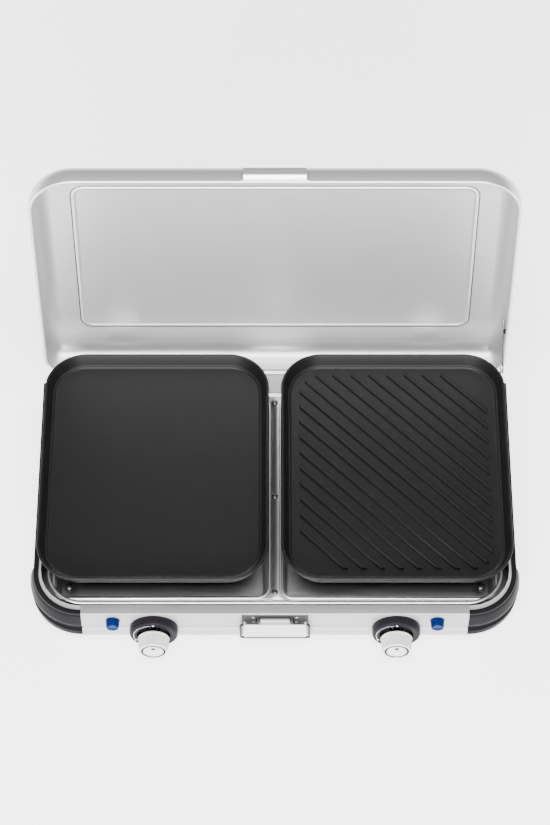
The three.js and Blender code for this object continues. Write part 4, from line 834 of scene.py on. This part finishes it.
def latch():
    """The bracket on the panel with its ears, rivets and hinge pin."""
    front = PANEL_FRONT - 0.3
    plan = [(front, 46.0), (front, 67.5), (front - SHEET, 67.5), (front - SHEET, 46.0)]
    ears = []
    for _, side in SIDES:
        x0, x1 = sorted((side * 19.4, side * 21.2))
        ear = softened([(front, 60.0), (front, 66.0), (AXIS_Y - 3, 66.0), (AXIS_Y - 3, 60.0)], 1.4, 4)
        ears.append(along_x(ear, x0, x1))
    bracket = mesh_object("latch_bracket_plate", along_x(plan, -40.7, 40.7))
    combine(bracket, "UNION", *ears)
    combine(bracket, "DIFFERENCE", rod((-30, AXIS_Y, AXIS_Z), (30, AXIS_Y, AXIS_Z), 1.9))
    place(bevelled(bracket, 0.4), "latch_white", "base", "latch_bracket", finish="bracket_steel")

    pin = mesh_object("latch_hinge_pin", merged(
        rod((-23.5, AXIS_Y, AXIS_Z), (23.5, AXIS_Y, AXIS_Z), 1.5),
        *[rod((s * 21.3, AXIS_Y, AXIS_Z), (s * 23.4, AXIS_Y, AXIS_Z), 2.5) for s in (-1, 1)],
    ))
    place(pin, "black_trim", "base", "latch_pin")

    rivet = [(2.1, -0.2), (2.0, 0.4), (1.4, 0.8), (NEEDLE, 0.95)]
    heads = [turned(rivet, (s * x, front - SHEET, z), 24, True) for s in (-1, 1) for x, z in
             ((26.2, 63.8), (26.2, 54.6), (36.2, 52.4))]
    place(mesh_object("latch_rivets", merged(*heads)), "wire_steel", "base")


def latch_lever():
    """The lever's white plate, its steel knuckle on the pin and the tabs that hold the bail."""
    back = PLATE_Y + SHEET
    top = BAIL_Z + 3.2
    sheet_line = [(PLATE_Y, top), (PLATE_Y, 32.0), (PLATE_Y - 0.7, 30.6), (PLATE_Y - 0.3, 29.8),
                  (PLATE_Y + 0.6, 29.8), (back - 0.2, 31.0), (back, 32.0), (back, top)]
    plate = mesh_object("lever_plate", along_x(softened(sheet_line, 1.2, 4), -38, 38))
    neck_line = [(PLATE_Y, top - 1), (PLATE_Y, AXIS_Z + 1), (back, AXIS_Z + 1), (back, top - 1)]
    pieces = [
        along_x(neck_line, -KNUCKLE_HALF, KNUCKLE_HALF),
        rod((-KNUCKLE_HALF, AXIS_Y, AXIS_Z), (KNUCKLE_HALF, AXIS_Y, AXIS_Z), 3.4, 32),
        slab(-KNUCKLE_HALF, KNUCKLE_HALF, back - 0.2, AXIS_Y, AXIS_Z - 1, AXIS_Z + 1),
    ]
    for side in (-1, 1):
        x0, x1 = sorted((side * 36.6, side * 38.0))
        tab = [(back - 0.2, 52), (BAIL_Y + 3.2, 52), (BAIL_Y + 3.2, top), (back - 0.2, top)]
        pieces.append(along_x(softened(tab, 1.2, 3), x0, x1))
    combine(plate, "UNION", *pieces)
    panel_field = slab(-33.5, 33.5, PLATE_Y - 1, PLATE_Y + 0.22, 32.5, 55.0)
    bores = [rod((-30, AXIS_Y, AXIS_Z), (30, AXIS_Y, AXIS_Z), 1.8),
             rod((-60, BAIL_Y, BAIL_Z), (60, BAIL_Y, BAIL_Z), BAIL_RADIUS + 0.3)]
    combine(plate, "DIFFERENCE", panel_field, *bores)
    place(bevelled(plate, 0.25), "latch_white", "latch_lever", "latch_lever")
    second_finish(plate, "latch_bar", lambda polygon: polygon.center.z > (top + 0.1) * MM)


def latch_bail():
    """The wire bail, its ends turned in through the lever's tabs."""
    low = BAIL_Z - BAIL_LENGTH
    end = 33.6
    path = [(-end, BAIL_Z), (-BAIL_HALF, BAIL_Z), (-BAIL_HALF, low), (BAIL_HALF, low), (BAIL_HALF, BAIL_Z),
            (end, BAIL_Z)]
    line = [(x, BAIL_Y, z) for x, z in softened(path, 2.6, 7, closed=False)]
    place(wire("bail_wire", line, BAIL_RADIUS), "wire_steel", "latch_bail", "latch_bail",
          finish="bail_steel")


# ---- stay ----

STAY_LEAN, STAY_REACH, STAY_RADIUS = math.radians(45), 67.2, 1.25
EYE_START, EYE_END, EYE_STEPS = math.radians(205), math.radians(495), 24


def stay():
    """The wire stay, bent into an open eye round its pivot."""
    low, high = millimetres("lid_stay")
    x = (low.x + high.x) / 2
    pivot = Vector((x, *joint_place("stay_pivot")))
    lean = STAY_LEAN
    reach = Vector((0, math.cos(lean), math.sin(lean)))
    side = Vector((0, -math.sin(lean), math.cos(lean)))
    eye_radius, neck = 3.05, 5.0
    path = []
    for i in range(EYE_STEPS + 1):
        angle = EYE_START + (EYE_END - EYE_START) * i / EYE_STEPS
        path.append(pivot + reach * eye_radius * math.cos(angle) + side * eye_radius * math.sin(angle))
    path += [pivot + reach * neck * 1.4 + side * 0.6, pivot + reach * neck * 2.2, pivot + reach * STAY_REACH]
    strand = wire("stay_wire", [tuple(p) for p in path], STAY_RADIUS)
    place(strand, "wire_steel", "stay", "lid_stay")


# ---- gas parts and burners ----

def burner_caps():
    """Cast caps with flame ports cut round the edge."""
    top = WELL_FLOOR + 12
    count = 24
    profile = [(NEEDLE, top + 0.3), (38, top + 0.3), (40, top + 2), (41.6, top + 3.2), (42, top + 4),
               (41.4, top + 5), (39, top + 6), (30, top + 6.6), (14, top + 6.9), (12.5, top + 6.5),
               (10.5, top + 6.9), (NEEDLE, top + 7)]

    def ports(angle, radius, height):
        if radius < 37 or height > top + 4.5:
            return 0.0
        return -2.2 * max(math.cos(angle * count), 0) ** 3

    for name, side in SIDES:
        shape = turned(profile, (side * BURNER_X, BURNER_Y, 0), count * 12, wave=ports)
        cap = mesh_object("flame_cap_" + name, shape)
        place(cap, "support_enamel", "base", "burner_cap_" + name)


def feet():
    """Grooved rubber pads."""
    profile = [(NEEDLE, 0), (7.6, 0), (8.6, 0.25), (9.4, 0.9), (10.0, 2.0), (10.2, 4.2), (9.8, 4.8),
               (9.8, 5.4), (10.4, 6.0), (10.6, 8.0), (10.2, 8.6), (10.2, 9.2), (10.8, 9.8), (11.0, 11.0),
               (10.8, 11.7), (NEEDLE, 11.7)]
    for node in [n for n in frame["nodes"] if n.startswith("foot_")]:
        low, high = millimetres(node)
        centre = ((low.x + high.x) / 2, (low.y + high.y) / 2, 0)
        piece = mesh_object("pad_" + node, turned(profile, centre, 64))
        place(piece, "foot_rubber", "base", node)


NUT_REACH, THREAD_LENGTH, THREAD_DEPTH = 27, 13, 0.45  # the reach is from the inner end


def inlet():
    """The brass inlet: a hexagon nut and a stem with a threaded end."""
    low, high = millimetres("gas_inlet")
    x, z = (low.x + high.x) / 2, (low.z + high.z) / 2
    length = high.y - low.y
    radius = (high.x - low.x) / 2
    half_flat = math.pi / 6

    def flats(angle, r, height):
        return r * (math.cos(half_flat) / math.cos((angle % (2 * half_flat)) - half_flat) - 1)

    nut_place = (x, low.y + NUT_REACH, z)
    nut_profile = [(NEEDLE, 0), (radius - 0.4, 0), (radius - 0.05, 0.5), (radius - 0.05, 8.5),
                   (radius - 0.6, 9), (NEEDLE, 9)]
    nut = turned(nut_profile, nut_place, 72, True, flats)
    stem_radius = min(radius * 0.55, 5.4)
    stem = [(NEEDLE, 0)]
    rings = 48
    for i in range(rings + 1):
        along = length * i / rings
        threaded = along < THREAD_LENGTH
        stem.append((stem_radius - (THREAD_DEPTH if threaded and i % 2 else 0), along))
    stem.append((NEEDLE, length))
    piece = mesh_object("inlet_fitting", merged(nut, turned(stem, (x, high.y, z), 48, True)), sharp=25)
    place(piece, "brass", "base", "gas_inlet")


# ---- pieces kept as they are in the CAD, with broken edges ----

EDGE = {"bottom_shell": 0.6, "rear_rail": 0.5, "stay_clip": 0.3, "stay_post": 0.4}
NO_BEVEL = ("knob_spring", "ignition_lead")


def carried_over():
    """Finishes and eased edges for every CAD node that no piece replaces."""
    for name, node in frame["nodes"].items():
        if node.hide_render:
            continue
        smooth(node.data, 32)
        dress(node, SLOT_OF[name])
        if not name.startswith(NO_BEVEL):
            bevelled(node, EDGE.get(name, 0.35), segments=2, limit=42)


# ---- floor, light and camera ----

WORLD_STRENGTH = 0.5
OVERHEAD_POWER = 190  # watts
FRONT_POWER = 400
FLOOR_GLOW = 2.2
FLOOR_REACH = 14  # metres each way
CAMERA_PLACE = (0.0, -1.8047, 2.9827)  # metres
CAMERA_TILT = 33  # degrees up from straight down
CAMERA_LENS = 118.87  # millimetres, on a 36 mm sensor


def area_light(name, size, power, position, target):
    """A rectangle of soft light that faces its target."""
    light = bpy.data.lights.new(name, "AREA")
    light.shape = "RECTANGLE"
    light.size, light.size_y = size
    light.energy = power
    obj = bpy.data.objects.new(name, light)
    obj.location = position
    obj.rotation_euler = (Vector(target) - Vector(position)).to_track_quat("-Z", "Y").to_euler()
    bpy.context.scene.collection.objects.link(obj)


def studio():
    """A pale floor, even light all round and two soft lights."""
    mesh = bpy.data.meshes.new("floor")
    corners = [(x * FLOOR_REACH, y * FLOOR_REACH, 0) for x, y in ((-1, -1), (1, -1), (1, 1), (-1, 1))]
    mesh.from_pydata(corners, [], [(0, 1, 2, 3)])
    floor = bpy.data.objects.new("floor", mesh)
    bpy.context.scene.collection.objects.link(floor)
    pale = material("pale_floor", (0.86, 0.86, 0.86), 0.0, 0.9, grain_depth=0.02, tint_swing=0.0,
                    rough_swing=0.0, specular=0.1)
    shader = pale.node_tree.nodes["Principled BSDF"]
    shader.inputs["Emission Color"].default_value = (1, 1, 1, 1)
    shader.inputs["Emission Strength"].default_value = FLOOR_GLOW
    mesh.materials.append(pale)
    world = bpy.data.worlds.new("studio")
    bpy.context.scene.world = world
    world.use_nodes = True
    background = world.node_tree.nodes["Background"]
    background.inputs["Color"].default_value = (1, 1, 1, 1)
    background.inputs["Strength"].default_value = WORLD_STRENGTH
    area_light("overhead", (2.6, 1.6), OVERHEAD_POWER, (0.0, -0.9, 3.4), (0, 0, 0))
    area_light("front", (3.0, 1.2), FRONT_POWER, (-0.4, -3.4, 1.5), (0, 0, 0.15))


def camera():
    """The one camera, looking down at the open grill from the front."""
    data = bpy.data.cameras.new("camera")
    data.lens = CAMERA_LENS
    data.sensor_width = 36
    data.sensor_fit = "AUTO"
    obj = bpy.data.objects.new("camera", data)
    obj.location = CAMERA_PLACE
    obj.rotation_euler = (math.radians(CAMERA_TILT), 0, 0)
    bpy.context.scene.collection.objects.link(obj)
    bpy.context.scene.camera = obj


def main():
    lid()
    lid_catch()
    plates()
    tray()
    screws()
    front_panel()
    bumpers()
    edge_trims()
    knobs()
    bezels()
    buttons()
    latch()
    latch_lever()
    latch_bail()
    stay()
    burner_caps()
    feet()
    inlet()
    carried_over()
    studio()
    camera()


main()
